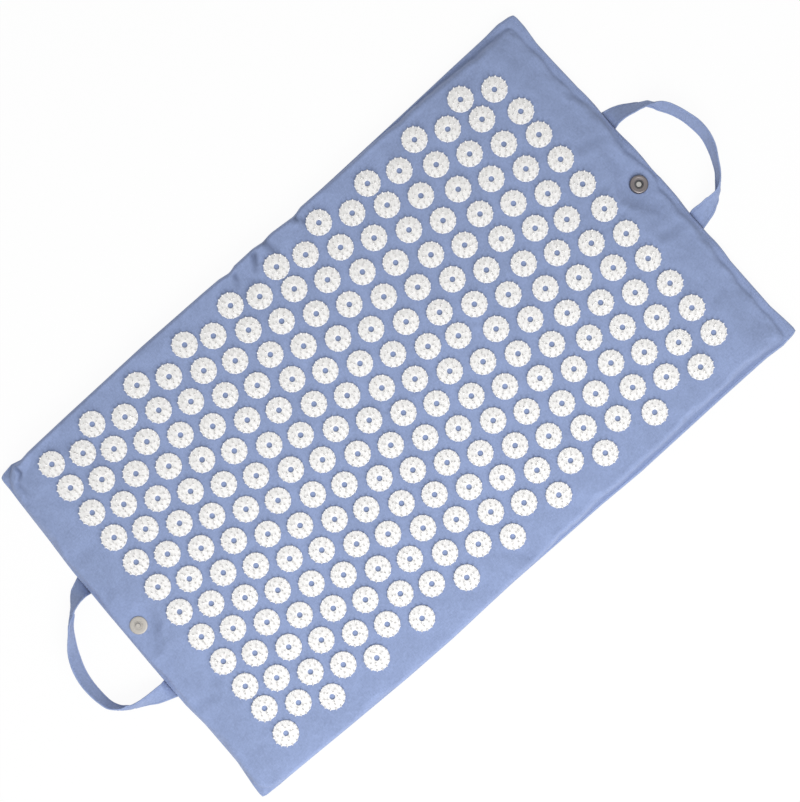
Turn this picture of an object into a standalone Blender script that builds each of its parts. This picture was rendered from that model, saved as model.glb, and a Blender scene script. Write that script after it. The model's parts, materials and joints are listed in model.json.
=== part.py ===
"""Acupressure mat: a foam pad in a sewn cotton cover, with rows of spiked discs, two strap handles and a
magnetic snap.

Metres, +Z up. The origin is at the middle of the mat, on the surface that it lies on. +X points to the
end with the snap's socket, and -X to the end with its stud. The mat folds in half between two disc rows.
"""

import math

import bmesh
import bpy
from mathutils import Matrix, Vector

# Cover: two panels of cotton, sewn together round the pad
MAT_LENGTH = 0.682
MAT_WIDTH = 0.414
SIDE_DRAW_IN = 0.002
SIDE_BOW_EXPONENT = 4
PAD_HEIGHT = 0.020
COVER_THICKNESS = 0.0008
WIDE_FLANGE = 0.008
NARROW_FLANGE = 0.0025
EDGE_RUN = 0.008
PAD_CORNER_RADIUS = 0.018
EDGE_STEPS = 3
PLATEAU_STEPS = 5
FIT_GAP = 0.0003

# Foam slab, in two halves that bend at the fold
FOAM_GAP = 0.0006
FOLD_GAP = 0.0006
FOLD_CLEARANCE = 0.0006

# Spiked discs, in staggered rows across the mat
DISC_DIAMETER = 0.0262
DISC_PLATE_THICKNESS = 0.0012
SPIKE_HEIGHT = 0.0038
DISC_SIDES = 12
ROW_COUNT = 20
DISCS_IN_LONG_ROW = 12
SOCKET_END_MARGIN = 0.0635
STUD_END_MARGIN = 0.0560
FAR_SIDE_MARGIN = 0.0281
NEAR_SIDE_MARGIN = 0.0367
ROW_CLOSE_UP_SHARE = 0.058

# Strap handles, folded from the cover's cloth
STRAP_WIDTH = 0.021
STRAP_THICKNESS = 0.0015
STRAP_CLEARANCE = 0.0005
HINGE_CLEARANCE = 0.0014
HANDLE_SPACING = 0.130
HANDLE_REACH = 0.067
HANDLE_MIDDLE_Y = 0.003
STRAP_FLOOR_GAP = 0.0003
STRAP_STEPS = 5
SOCKET_HANDLE_SKEW = -0.02
STUD_HANDLE_SKEW = 0.09

# Half of a strap's path: share of the way between its feet, share of its reach, and its lean in degrees
STRAP_SHARES = (
    (0.000, 0.00, 0),
    (0.000, 0.11, 2),
    (0.030, 0.31, 20),
    (0.110, 0.62, 56),
    (0.270, 0.90, 64),
)
CROWN_LEAN = 50

# Magnetic snap: a socket half at one end of the mat and a stud half at the other
SNAP_SEAT_HEIGHT = 0.011
SNAP_SEAT_MARGIN = 0.002
SNAP_SEAT_FADE = 0.012
SOCKET_DIAMETER = 0.0185
SOCKET_HEIGHT = 0.0034
SOCKET_WALL = 0.0008
SOCKET_BEVEL = 0.0016
SOCKET_MOUTH_DIAMETER = 0.0074
SOCKET_EDGE_DISTANCE = 0.0195
SOCKET_BASE_THICKNESS = 0.0005
MAGNET_DIAMETER = 0.0130
MAGNET_THICKNESS = 0.0015
STUD_PLATE_DIAMETER = 0.0176
STUD_PLATE_THICKNESS = 0.0010
STUD_PLATE_BEVEL = 0.0003
STUD_EDGE_DISTANCE = 0.0137
STUD_DIAMETER = 0.0046
STUD_LENGTH = 0.0022
RIVET_SHANK_DIAMETER = 0.0034
RIVET_HEAD_DIAMETER = 0.0050
RIVET_HEAD_THICKNESS = 0.0007
RIVET_TAIL_THICKNESS = 0.0005
WASHER_DIAMETER = 0.0150
WASHER_THICKNESS = 0.0006
TURNED_STEPS = 20
HOLE_SIDES = 16

FULL_TURN = 2 * math.pi
QUARTER_TURN = math.pi / 2

# How closely a face's normal follows an axis, and points that count as one
FACING_SHARE = 0.99
MERGE_DISTANCE = 0.00001

# Levels that the pieces share
flange_top = 2 * COVER_THICKNESS + FIT_GAP
disc_seat = PAD_HEIGHT + FIT_GAP
spike_tip = disc_seat + DISC_PLATE_THICKNESS + SPIKE_HEIGHT
fold_height = spike_tip + FOLD_CLEARANCE
rivet_hole_diameter = RIVET_SHANK_DIAMETER + 2 * FIT_GAP
seat_relief = FIT_GAP + WASHER_THICKNESS + FIT_GAP + RIVET_TAIL_THICKNESS

# The pad's outline inside the sewn flange: the foam lies towards the stud end and the far side
pad_x = (-MAT_LENGTH / 2 + NARROW_FLANGE, MAT_LENGTH / 2 - WIDE_FLANGE)
pad_y = (-MAT_WIDTH / 2 + WIDE_FLANGE, MAT_WIDTH / 2 - NARROW_FLANGE)


def drawn_in(x, y):
    """A point of the flat pattern, moved as the filled cover draws its sides in between the corners."""
    bow_x = 1 - abs(2 * y / MAT_WIDTH) ** SIDE_BOW_EXPONENT
    bow_y = 1 - abs(2 * x / MAT_LENGTH) ** SIDE_BOW_EXPONENT
    return (
        x * (1 - 2 * SIDE_DRAW_IN / MAT_LENGTH * bow_x),
        y * (1 - 2 * SIDE_DRAW_IN / MAT_WIDTH * bow_y),
    )


def row_x(row):
    """The rows' places: they close up evenly from the socket end to the stud end."""
    first = MAT_LENGTH / 2 - SOCKET_END_MARGIN
    last = -MAT_LENGTH / 2 + STUD_END_MARGIN
    share = row / (ROW_COUNT - 1)
    return first + (last - first) * share * (1 + ROW_CLOSE_UP_SHARE * (1 - share))


disc_pitch = (MAT_WIDTH - FAR_SIDE_MARGIN - NEAR_SIDE_MARGIN) / (DISCS_IN_LONG_ROW - 1)
field_middle_y = (NEAR_SIDE_MARGIN - FAR_SIDE_MARGIN) / 2
rows_in_half = ROW_COUNT // 2
fold_x = (row_x(rows_in_half - 1) + row_x(rows_in_half)) / 2

socket_flat = (MAT_LENGTH / 2 - SOCKET_EDGE_DISTANCE, HANDLE_MIDDLE_Y)
stud_flat = (-MAT_LENGTH / 2 + STUD_EDGE_DISTANCE, HANDLE_MIDDLE_Y)
seat_half = SOCKET_DIAMETER / 2 + SNAP_SEAT_MARGIN


def smooth_step(share):
    share = min(max(share, 0), 1)
    return share * share * (3 - 2 * share)


def pad_depth(x, y):
    """How far a point of the pattern lies inside the pad's rounded outline."""
    outside = []
    for value, (low, high) in ((x, pad_x), (y, pad_y)):
        outside.append(abs(value - (low + high) / 2) - ((high - low) / 2 - PAD_CORNER_RADIUS))
    corner = math.hypot(max(outside[0], 0), max(outside[1], 0))
    return PAD_CORNER_RADIUS - corner - min(max(outside), 0)


def seat_share(x, y):
    """1 on the level seat of a snap half, falling to 0 round it."""
    share = 0
    for snap_x, snap_y in (socket_flat, stud_flat):
        away = max(abs(x - snap_x), abs(y - snap_y)) - seat_half
        share = max(share, 1 - smooth_step(away / SNAP_SEAT_FADE))
    return share


def cover_height(x, y):
    """The top panel's outer surface: flat flange, rounded side, level top, and a lowered seat at each snap."""
    inside = min(max(pad_depth(x, y) / EDGE_RUN, 0), 1)
    rise = math.sqrt(1 - (1 - inside) ** 2)
    height = flange_top + (PAD_HEIGHT - flange_top) * rise
    return height + min(SNAP_SEAT_HEIGHT - height, 0) * seat_share(x, y)


def foam_height(x, y):
    """The foam's top, a clearance below the cover measured square to its slope."""
    step = EDGE_RUN / EDGE_STEPS
    slope_x = (cover_height(x + step, y) - cover_height(x - step, y)) / (2 * step)
    slope_y = (cover_height(x, y + step) - cover_height(x, y - step)) / (2 * step)
    clearance = (COVER_THICKNESS + FOAM_GAP) * math.sqrt(1 + slope_x**2 + slope_y**2)
    return cover_height(x, y) - clearance - seat_relief * seat_share(x, y)


def make_collection(name):
    collection = bpy.data.collections.new(name)
    bpy.context.scene.collection.children.link(collection)
    return collection


def make_material(name, colour, roughness, metallic=0.0):
    material = bpy.data.materials.new(name)
    material.use_nodes = True
    material.diffuse_color = (*colour, 1)
    surface = material.node_tree.nodes["Principled BSDF"]
    surface.inputs["Base Color"].default_value = (*colour, 1)
    surface.inputs["Roughness"].default_value = roughness
    surface.inputs["Metallic"].default_value = metallic
    return material


def make_axis(name, place, parent=None):
    """An empty on a joint's axis, which the moving pieces hang from."""
    axis = bpy.data.objects.new(name, None)
    axis.empty_display_size = PAD_HEIGHT
    parts.objects.link(axis)
    axis.location = place
    if parent:
        carry(axis, parent)
    return axis


def carry(obj, axis):
    bpy.context.view_layer.update()
    obj.parent = axis
    obj.matrix_parent_inverse = axis.matrix_world.inverted()


def make_object(name, mesh, material, axis=None, collection=None):
    obj = bpy.data.objects.new(name, mesh)
    (collection or parts).objects.link(obj)
    if material:
        mesh.materials.append(material)
    if axis:
        carry(obj, axis)
    return obj


def mesh_from(name, bm):
    mesh = bpy.data.meshes.new(name)
    bm.to_mesh(mesh)
    bm.free()
    return mesh


def spread(start, end, steps):
    return [start + (end - start) * step / steps for step in range(steps + 1)]


def rounding(edge, inward):
    """Stations down the pad's rounded side, closer together where it's steeper."""
    turns = spread(0, QUARTER_TURN, EDGE_STEPS)
    return [edge + inward * EDGE_RUN * (1 - math.cos(turn)) for turn in turns]


def merged(stations):
    """Sorted stations, leaving out any that nearly repeats the one before it."""
    kept = []
    for station in sorted(stations):
        if not kept or station - kept[-1] > COVER_THICKNESS:
            kept.append(station)
    return kept


def side_stations(low, high):
    middle_y = HANDLE_MIDDLE_Y
    seat = [middle_y - seat_half, middle_y + seat_half]
    fade = [middle_y - seat_half - SNAP_SEAT_FADE, middle_y + seat_half + SNAP_SEAT_FADE]
    plain = spread(low[-1], seat[0], PLATEAU_STEPS) + spread(seat[1], high[-1], PLATEAU_STEPS)
    return merged(low + high + seat + fade + plain)


def end_stations(fold_side, edge, snap_x):
    """Stations along a half, from the fold to the end's rounded side and over the snap's seat."""
    inward = -math.copysign(1, edge)
    seat = [snap_x + inward * seat_half, snap_x + inward * (seat_half + SNAP_SEAT_FADE)]
    return merged(rounding(edge, inward) + seat + spread(fold_side, seat[1], PLATEAU_STEPS))


def make_sheet(xs, ys, height):
    """An open sheet with a vertex at each pair of stations, drawn in at the sides and raised to its height."""
    bm = bmesh.new()
    bmesh.ops.create_grid(bm, x_segments=len(xs) - 1, y_segments=len(ys) - 1, size=1)
    for vert in bm.verts:
        column = round((vert.co.x + 1) / 2 * (len(xs) - 1))
        line = round((vert.co.y + 1) / 2 * (len(ys) - 1))
        flat = (xs[column], ys[line])
        vert.co = (*drawn_in(*flat), height(*flat))
    return bm


def thicken(obj, thickness):
    solid = obj.modifiers.new("thickness", "SOLIDIFY")
    solid.thickness = thickness
    solid.offset = -1
    solid.use_even_offset = True
    return solid


def drill(obj, cutter):
    cut = obj.modifiers.new("hole", "BOOLEAN")
    cut.operation = "DIFFERENCE"
    cut.object = cutter
    cut.solver = "EXACT"


def make_hole_cutter(name, place):
    """A drill through the cover at a snap's rivet."""
    bm = bmesh.new()
    bmesh.ops.create_cone(
        bm,
        cap_ends=True,
        segments=HOLE_SIDES,
        radius1=rivet_hole_diameter / 2,
        radius2=rivet_hole_diameter / 2,
        depth=2 * (COVER_THICKNESS + seat_relief),
    )
    cutter = make_object(name, mesh_from(name, bm), None, collection=cutters)
    cutter.location = (*place, SNAP_SEAT_HEIGHT - COVER_THICKNESS / 2)
    cutter.hide_render = True
    cutter.display_type = "WIRE"
    return cutter


def make_half(end, edge, pad_edge, snap_flat, axis):
    """One half of the pad: its top panel, its bottom panel and its piece of the foam."""
    fold_side = fold_x + math.copysign(FOLD_GAP / 2, edge)
    low = rounding(pad_y[0], 1)
    high = rounding(pad_y[1], -1)
    ys = side_stations(low, high)
    xs = end_stations(fold_side, pad_edge, snap_flat[0])

    panel_xs = sorted(xs + [edge])
    panel_ys = [-MAT_WIDTH / 2] + ys + [MAT_WIDTH / 2]
    name = f"{end}_half_top_cover"
    top_sheet = make_sheet(panel_xs, panel_ys, cover_height)
    top = make_object(name, mesh_from(name, top_sheet), cloth, axis)
    thicken(top, COVER_THICKNESS)
    drill(top, make_hole_cutter(f"{end}_rivet_hole", drawn_in(*snap_flat)))

    name = f"{end}_half_bottom_cover"
    bottom_ys = [-MAT_WIDTH / 2] + spread(pad_y[0], pad_y[1], PLATEAU_STEPS) + [MAT_WIDTH / 2]
    bottom_xs = sorted(spread(fold_side, pad_edge, PLATEAU_STEPS) + [edge])
    bottom_sheet = make_sheet(bottom_xs, bottom_ys, lambda x, y: COVER_THICKNESS)
    bottom = make_object(name, mesh_from(name, bottom_sheet), cloth_underside, axis)
    thicken(bottom, COVER_THICKNESS)

    name = f"{end}_half_foam"
    foam_xs = xs[:-EDGE_STEPS] if edge > 0 else xs[EDGE_STEPS:]
    foam_ys = ys[EDGE_STEPS:-EDGE_STEPS]
    bm = make_sheet(foam_xs, foam_ys, foam_height)
    extruded = bmesh.ops.extrude_face_region(bm, geom=list(bm.faces))
    for item in extruded["geom"]:
        if isinstance(item, bmesh.types.BMVert):
            item.co.z = COVER_THICKNESS + FIT_GAP
    bmesh.ops.recalc_face_normals(bm, faces=bm.faces)
    make_object(name, mesh_from(name, bm), foam, axis)


def make_disc_row(name, x, count, axis):
    """A row of discs: each is a round plate with a ring of spikes, joined to the next by a flat link."""
    bm = bmesh.new()
    flat_side_on = Matrix.Rotation(FULL_TURN / DISC_SIDES / 2, 4, "Z")
    for index in range(count):
        middle = Vector((0, (index - (count - 1) / 2) * disc_pitch, DISC_PLATE_THICKNESS / 2))
        disc = bmesh.ops.create_cone(
            bm,
            cap_ends=True,
            cap_tris=True,
            segments=DISC_SIDES,
            radius1=DISC_DIAMETER / 2,
            radius2=DISC_DIAMETER / 2,
            depth=DISC_PLATE_THICKNESS,
            matrix=Matrix.Translation(middle) @ flat_side_on,
        )
        faces = {face for vert in disc["verts"] for face in vert.link_faces}
        raise_spikes(bm, [face for face in faces if face.normal.z > FACING_SHARE], middle)
    underside = [face for face in bm.faces if face.normal.z < -FACING_SHARE]
    bmesh.ops.dissolve_faces(bm, faces=underside, use_verts=True)
    link_discs(bm)
    bmesh.ops.recalc_face_normals(bm, faces=bm.faces)
    row = make_object(name, mesh_from(name, bm), disc_plastic, axis)
    bpy.context.view_layer.update()
    row.matrix_world = Matrix.Translation((x, field_middle_y, disc_seat))


def raise_spikes(bm, fan, middle):
    """Every second triangle of the plate's top becomes a three-sided spike."""
    def bearing(face):
        towards = face.calc_center_median() - middle
        return math.atan2(towards.y, towards.x)

    every_second = sorted(fan, key=bearing)[::2]
    bmesh.ops.poke(bm, faces=every_second, offset=SPIKE_HEIGHT)


def link_discs(bm):
    """Joins facing sides of neighbouring discs, so that a row is one piece."""
    bm.normal_update()
    facing = [face for face in bm.faces if abs(face.normal.y) > FACING_SHARE]
    facing.sort(key=lambda face: face.calc_center_median().y)
    inner = facing[1:-1]
    for first, second in zip(inner[::2], inner[1::2]):
        edges = list(first.edges) + list(second.edges)
        bmesh.ops.delete(bm, geom=[first, second], context="FACES_ONLY")
        bmesh.ops.bridge_loops(bm, edges=edges)


def strap_path(skew):
    """The whole strap's shares: the half path, its crown and the half path mirrored, moved along by the skew."""
    half = list(STRAP_SHARES)
    mirrored = [(1 - across, out, lean) for across, out, lean in reversed(half)]
    path = half + [(0.5, 1, CROWN_LEAN)] + mirrored
    return [(across + 4 * skew * across * (1 - across), out, lean) for across, out, lean in path]


def make_handle(end, side, skew, axis):
    """A flat strap between two feet on an end seam. It turns on its edge where it bends round."""
    crown_half_width = STRAP_WIDTH / 2 * math.cos(math.radians(CROWN_LEAN))
    start = abs(drawn_in(MAT_LENGTH / 2, HANDLE_MIDDLE_Y + HANDLE_SPACING / 2)[0]) + STRAP_CLEARANCE
    reach = HANDLE_REACH - crown_half_width - STRAP_CLEARANCE

    curve = bpy.data.curves.new(f"{end}_handle", "CURVE")
    curve.dimensions = "3D"
    curve.twist_mode = "Z_UP"
    curve.resolution_u = STRAP_STEPS
    curve.bevel_mode = "OBJECT"
    curve.bevel_object = strap_section
    curve.use_fill_caps = True
    spline = curve.splines.new("BEZIER")
    path = strap_path(skew)
    spline.bezier_points.add(len(path) - 1)
    for point, (across, out, lean) in zip(spline.bezier_points, path):
        lean = math.radians(lean)
        height = STRAP_FLOOR_GAP + STRAP_THICKNESS / 2 + STRAP_WIDTH / 2 * math.sin(lean)
        y = HANDLE_MIDDLE_Y + HANDLE_SPACING * (0.5 - across)
        point.co = (side * (start + out * reach), y, height)
        point.tilt = side * lean
        point.handle_left_type = "AUTO"
        point.handle_right_type = "AUTO"
    obj = bpy.data.objects.new(f"{end}_handle", curve)
    parts.objects.link(obj)
    curve.materials.append(strap_cloth)
    carry(obj, axis)
    return obj


def make_strap_section():
    """The strap's cross-section, which its curve carries along."""
    section = bpy.data.curves.new("strap_section", "CURVE")
    section.dimensions = "2D"
    spline = section.splines.new("POLY")
    spline.points.add(3)
    half_width, half_thickness = STRAP_WIDTH / 2, STRAP_THICKNESS / 2
    corners = ((-1, -1), (-1, 1), (1, 1), (1, -1))
    for point, (across, up) in zip(spline.points, corners):
        point.co = (across * half_width, up * half_thickness, 0, 1)
    spline.use_cyclic_u = True
    obj = bpy.data.objects.new("strap_section", section)
    cutters.objects.link(obj)
    obj.hide_render = True
    obj.display_type = "WIRE"
    return obj


def make_turned(name, profile, closed, place, material, axis):
    """A turned piece: a profile of radius and height points, swept round its axis."""
    bm = bmesh.new()
    verts = [bm.verts.new((radius, 0, height)) for radius, height in profile]
    for first, second in zip(verts, verts[1:] + verts[:1] if closed else verts[1:]):
        bm.edges.new((first, second))
    obj = make_object(name, mesh_from(name, bm), material, axis)
    bpy.context.view_layer.update()
    obj.matrix_world = Matrix.Translation(place)
    screw = obj.modifiers.new("turning", "SCREW")
    screw.axis = "Z"
    screw.angle = FULL_TURN
    screw.steps = TURNED_STEPS
    screw.render_steps = TURNED_STEPS
    screw.use_merge_vertices = True
    screw.merge_threshold = MERGE_DISTANCE
    screw.use_smooth_shade = False
    return obj


def ring_profile(inner, outer, low, high):
    return [(inner, high), (outer, high), (outer, low), (inner, low)]


def make_washer(name, place, axis):
    under_cover = -COVER_THICKNESS - FIT_GAP
    profile = ring_profile(
        rivet_hole_diameter / 2, WASHER_DIAMETER / 2, under_cover - WASHER_THICKNESS, under_cover
    )
    make_turned(name, profile, True, place, backing_steel, axis)


def rivet_tail():
    """The shank's and the set tail's points, below the cover."""
    shank = RIVET_SHANK_DIAMETER / 2
    tail_top = -COVER_THICKNESS - FIT_GAP - WASHER_THICKNESS - FIT_GAP
    tail = rivet_hole_diameter / 2 + RIVET_TAIL_THICKNESS
    return [
        (shank, tail_top),
        (tail, tail_top),
        (tail, tail_top - RIVET_TAIL_THICKNESS),
        (0, tail_top - RIVET_TAIL_THICKNESS),
    ]


def make_socket(axis):
    """The snap's socket half: a bevelled cap over a ring magnet and a base plate, riveted through the cover."""
    place = Vector((*drawn_in(*socket_flat), SNAP_SEAT_HEIGHT))
    outer, mouth = SOCKET_DIAMETER / 2, SOCKET_MOUTH_DIAMETER / 2
    low, high = FIT_GAP, FIT_GAP + SOCKET_HEIGHT
    ceiling = high - SOCKET_WALL
    base_top = low + SOCKET_BASE_THICKNESS
    base_outer = outer - SOCKET_WALL - FIT_GAP
    cap = [
        (mouth, high - SOCKET_WALL / 2),
        (mouth + SOCKET_WALL, high),
        (outer - SOCKET_BEVEL, high),
        (outer, high - SOCKET_BEVEL),
        (outer, low),
        (outer - SOCKET_WALL, low),
        (outer - SOCKET_WALL, ceiling - SOCKET_BEVEL),
        (outer - SOCKET_BEVEL - SOCKET_WALL, ceiling),
        (mouth, ceiling),
    ]
    make_turned("snap_socket_cap", cap, True, place, snap_metal, axis)

    base = ring_profile(rivet_hole_diameter / 2, base_outer, low, base_top)
    make_turned("snap_socket_base", base, True, place, backing_steel, axis)

    seated = base_top + FIT_GAP
    magnet = ring_profile(mouth, MAGNET_DIAMETER / 2, seated, seated + MAGNET_THICKNESS)
    make_turned("snap_socket_magnet", magnet, True, place, magnet_ferrite, axis)

    head, shank = RIVET_HEAD_DIAMETER / 2, RIVET_SHANK_DIAMETER / 2
    rivet = [
        (0, seated + RIVET_HEAD_THICKNESS),
        (head, seated + RIVET_HEAD_THICKNESS),
        (head, seated),
        (shank, seated),
    ] + rivet_tail()
    make_turned("snap_socket_rivet", rivet, False, place, bright_metal, axis)
    make_washer("snap_socket_washer", place, axis)


def make_stud(axis):
    """The snap's stud half: a flat plate on the cover, with a stud whose shank is its rivet."""
    place = Vector((*drawn_in(*stud_flat), SNAP_SEAT_HEIGHT))
    outer, hole = STUD_PLATE_DIAMETER / 2, rivet_hole_diameter / 2
    low, high = FIT_GAP, FIT_GAP + STUD_PLATE_THICKNESS
    plate = [
        (hole, high),
        (outer - STUD_PLATE_BEVEL, high),
        (outer, high - STUD_PLATE_BEVEL),
        (outer, low),
        (hole, low),
    ]
    make_turned("snap_stud_plate", plate, True, place, plate_metal, axis)

    stud, shank = STUD_DIAMETER / 2, RIVET_SHANK_DIAMETER / 2
    shoulder = high + FIT_GAP
    post = [
        (0, shoulder + STUD_LENGTH),
        (stud - STUD_PLATE_BEVEL, shoulder + STUD_LENGTH),
        (stud, shoulder + STUD_LENGTH - STUD_PLATE_BEVEL),
        (stud, shoulder),
        (shank, shoulder),
    ] + rivet_tail()
    make_turned("snap_stud_post", post, False, place, plate_metal, axis)
    make_washer("snap_stud_washer", place, axis)


def shade(collection):
    for obj in collection.objects:
        if obj.type == "MESH" and obj.name.startswith("snap_"):
            obj.data.shade_smooth()


for old in list(bpy.data.objects):
    bpy.data.objects.remove(old)

parts = make_collection("Acupressure mat")
cutters = make_collection("Cutters")
cutters.hide_render = True

cloth = make_material("blue_cotton", (0.27, 0.34, 0.58), 0.9)
cloth_underside = make_material("blue_cotton_underside", (0.25, 0.32, 0.55), 0.9)
strap_cloth = make_material("blue_strap", (0.24, 0.31, 0.54), 0.9)
foam = make_material("pale_foam", (0.80, 0.78, 0.70), 0.95)
disc_plastic = make_material("white_plastic", (0.86, 0.84, 0.81), 0.45)
snap_metal = make_material("gunmetal", (0.32, 0.30, 0.30), 0.35, 1.0)
plate_metal = make_material("pale_nickel", (0.66, 0.63, 0.60), 0.4, 1.0)
bright_metal = make_material("bright_nickel", (0.78, 0.77, 0.76), 0.25, 1.0)
magnet_ferrite = make_material("ferrite", (0.08, 0.08, 0.09), 0.6)
backing_steel = make_material("backing_steel", (0.60, 0.60, 0.60), 0.45, 1.0)

fold_axis = make_axis("mat_fold_axis", (fold_x, 0, fold_height))
hinge_height = STRAP_FLOOR_GAP + STRAP_THICKNESS / 2
end_x = abs(drawn_in(MAT_LENGTH / 2, HANDLE_MIDDLE_Y + HANDLE_SPACING / 2)[0])
hinge_x = end_x + HINGE_CLEARANCE
socket_handle_axis = make_axis("socket_handle_axis", (hinge_x, HANDLE_MIDDLE_Y, hinge_height), fold_axis)
stud_handle_axis = make_axis("stud_handle_axis", (-hinge_x, HANDLE_MIDDLE_Y, hinge_height))

make_half("socket", MAT_LENGTH / 2, pad_x[1], socket_flat, fold_axis)
make_half("stud", -MAT_LENGTH / 2, pad_x[0], stud_flat, None)

for row in range(ROW_COUNT):
    discs = DISCS_IN_LONG_ROW - (row + 1) % 2
    row_axis = fold_axis if row < rows_in_half else None
    make_disc_row(f"disc_row_{row + 1:02d}", row_x(row), discs, row_axis)

strap_section = make_strap_section()
make_handle("socket", 1, SOCKET_HANDLE_SKEW, socket_handle_axis)
make_handle("stud", -1, STUD_HANDLE_SKEW, stud_handle_axis)

make_socket(fold_axis)
make_stud(None)
shade(parts)
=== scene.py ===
"""Dresses the acupressure mat: a padded cotton cover, rows of spiked discs, two strap handles and a snap."""

import json
import math
import random

import bmesh
import bpy
import numpy as np
from bpy.props import FloatProperty, FloatVectorProperty, IntProperty, PointerProperty
from bpy.types import Operator, Panel, PropertyGroup
from mathutils import Euler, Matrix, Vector

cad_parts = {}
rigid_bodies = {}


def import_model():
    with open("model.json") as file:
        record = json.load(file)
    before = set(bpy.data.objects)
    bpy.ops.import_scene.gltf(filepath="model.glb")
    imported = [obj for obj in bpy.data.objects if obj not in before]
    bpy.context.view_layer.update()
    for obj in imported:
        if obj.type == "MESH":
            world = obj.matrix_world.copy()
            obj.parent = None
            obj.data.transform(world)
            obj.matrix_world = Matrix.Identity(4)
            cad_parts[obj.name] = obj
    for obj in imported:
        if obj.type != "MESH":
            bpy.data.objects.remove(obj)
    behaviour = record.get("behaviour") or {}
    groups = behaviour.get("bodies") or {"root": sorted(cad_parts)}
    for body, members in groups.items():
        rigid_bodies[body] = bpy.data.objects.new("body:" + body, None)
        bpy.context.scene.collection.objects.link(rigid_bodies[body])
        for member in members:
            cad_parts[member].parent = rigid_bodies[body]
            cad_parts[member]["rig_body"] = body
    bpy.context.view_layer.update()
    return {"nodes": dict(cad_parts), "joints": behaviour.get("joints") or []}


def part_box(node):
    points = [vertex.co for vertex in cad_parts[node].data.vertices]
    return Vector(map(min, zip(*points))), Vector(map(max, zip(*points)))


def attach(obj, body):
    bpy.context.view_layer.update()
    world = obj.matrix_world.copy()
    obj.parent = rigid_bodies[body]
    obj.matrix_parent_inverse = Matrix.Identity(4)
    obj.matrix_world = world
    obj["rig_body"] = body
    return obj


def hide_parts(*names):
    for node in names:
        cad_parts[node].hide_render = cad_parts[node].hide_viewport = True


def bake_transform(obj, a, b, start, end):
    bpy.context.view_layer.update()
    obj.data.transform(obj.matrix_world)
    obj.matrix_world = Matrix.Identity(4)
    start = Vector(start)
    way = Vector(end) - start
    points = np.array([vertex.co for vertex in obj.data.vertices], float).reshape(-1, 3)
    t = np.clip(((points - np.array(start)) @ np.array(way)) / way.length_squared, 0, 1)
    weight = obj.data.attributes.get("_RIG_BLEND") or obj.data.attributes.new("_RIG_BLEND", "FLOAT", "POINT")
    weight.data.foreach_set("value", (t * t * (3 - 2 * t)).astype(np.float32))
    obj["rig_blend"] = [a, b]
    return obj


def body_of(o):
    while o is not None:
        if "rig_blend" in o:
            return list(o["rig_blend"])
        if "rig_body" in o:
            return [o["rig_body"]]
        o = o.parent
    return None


bl_info = {
    "name": "Acupressure Mat",
    "version": (1, 0, 0),
    "blender": (4, 5, 0),
    "location": "3D View > Sidebar > Mat",
    "description": "Cover, foam, discs, strap handles and snap of an acupressure mat, on its frame",
    "category": "Object",
}

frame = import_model()

# Picture: the camera looks straight down on the mat, turned round its own line of sight
PICTURE_WIDTH_PX = 800
PICTURE_HEIGHT_PX = 802
CAMERA_TURN_DEGREES = -41.4
CAMERA_OVER = (0.0079, -0.0014)
CAMERA_HEIGHT = 1.5
FLOOR_SEEN = 0.780

# Cover: its size, as the solids have it
MAT_LENGTH = 0.682
MAT_WIDTH = 0.414
PAD_HEIGHT = 0.020

# Cover's seam, and the flat sewn flange between the seam and the pad
SEAM_HEIGHT = 0.0010
SEAM_LIFT = 0.0068
LIP_RISE = 0.0016
LIP_RUN = 0.0012
WIDE_FLANGE = 0.008
FLANGE_REACH = 0.015
FLANGE_BLEND = 0.010
SEWN_FROM = 0.0014
SEWN_FULL = 0.0052

# Crease where the flange meets the pad, and the pad's rise from there
CREASE_HEIGHT = 0.0100
CREASE_DEPTH = 0.0006
CREASE_HALF_WIDTH = 0.0020
CREASE_WOBBLE = 0.0010
EDGE_RUN_NARROW = 0.0045
EDGE_RUN_WIDE = 0.0088
SOFT_RISE = 2.4
SOCKET_CORNER_RADIUS = 0.007
STUD_CORNER_RADIUS = 0.018

# Top of the pad: thinner at its ends, level round the snap, and puckered beside the flange
END_DROP = 0.0066
END_DROP_RUN = 0.034
SEAT_FADE = 0.017
SEAT_MARGIN = 0.0015
SEAT_STRETCH = 0.55
SEAT_STEADINESS = 0.9
SEAT_CREASE_CUT = 0.6
OPEN_FIELD_RUN = 0.020
PUCKER_PLACE = 0.012
PUCKER_HALF_WIDTH = 0.010
PUCKER_HEIGHT = 0.0005
UNDERSIDE_WAVE_HEIGHT = 0.0002
UNDERSIDE_WAVE_RUN = 0.010

# Worn, paler cloth on the seam and on the pad's shoulder
SEAM_WEAR_HALF_WIDTH = 0.0015
SHOULDER_WEAR_PLACE = 0.006
SHOULDER_WEAR_HALF_WIDTH = 0.004
SHOULDER_WEAR_SHARE = 0.3

# Soft waves: the seed of their directions, and their lengths
SEAM_WAVES = (21, (0.026, 0.041, 0.067))
PAD_WAVES = (3, (0.05, 0.07, 0.09, 0.12))
PUCKER_WAVES = (11, (0.02, 0.028, 0.036, 0.05))
UNDERSIDE_WAVES = (5, (0.04, 0.06, 0.1))

# Discs on the cover
DISC_LIFT = 0.0003
DISC_SINK = 0.0001
DISC_HOLD_RUN = 0.004

# Grids of the cover and the foam: close and wide steps, and how far the close ones reach
COVER_STEPS = (0.00125, 0.0037)
COVER_END_REACH = 0.022
COVER_SIDE_REACH = 0.012
FOAM_STEPS = (0.003, 0.009)
FOAM_REACH = 0.020
MIDDLE_REACH = 0.014

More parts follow.
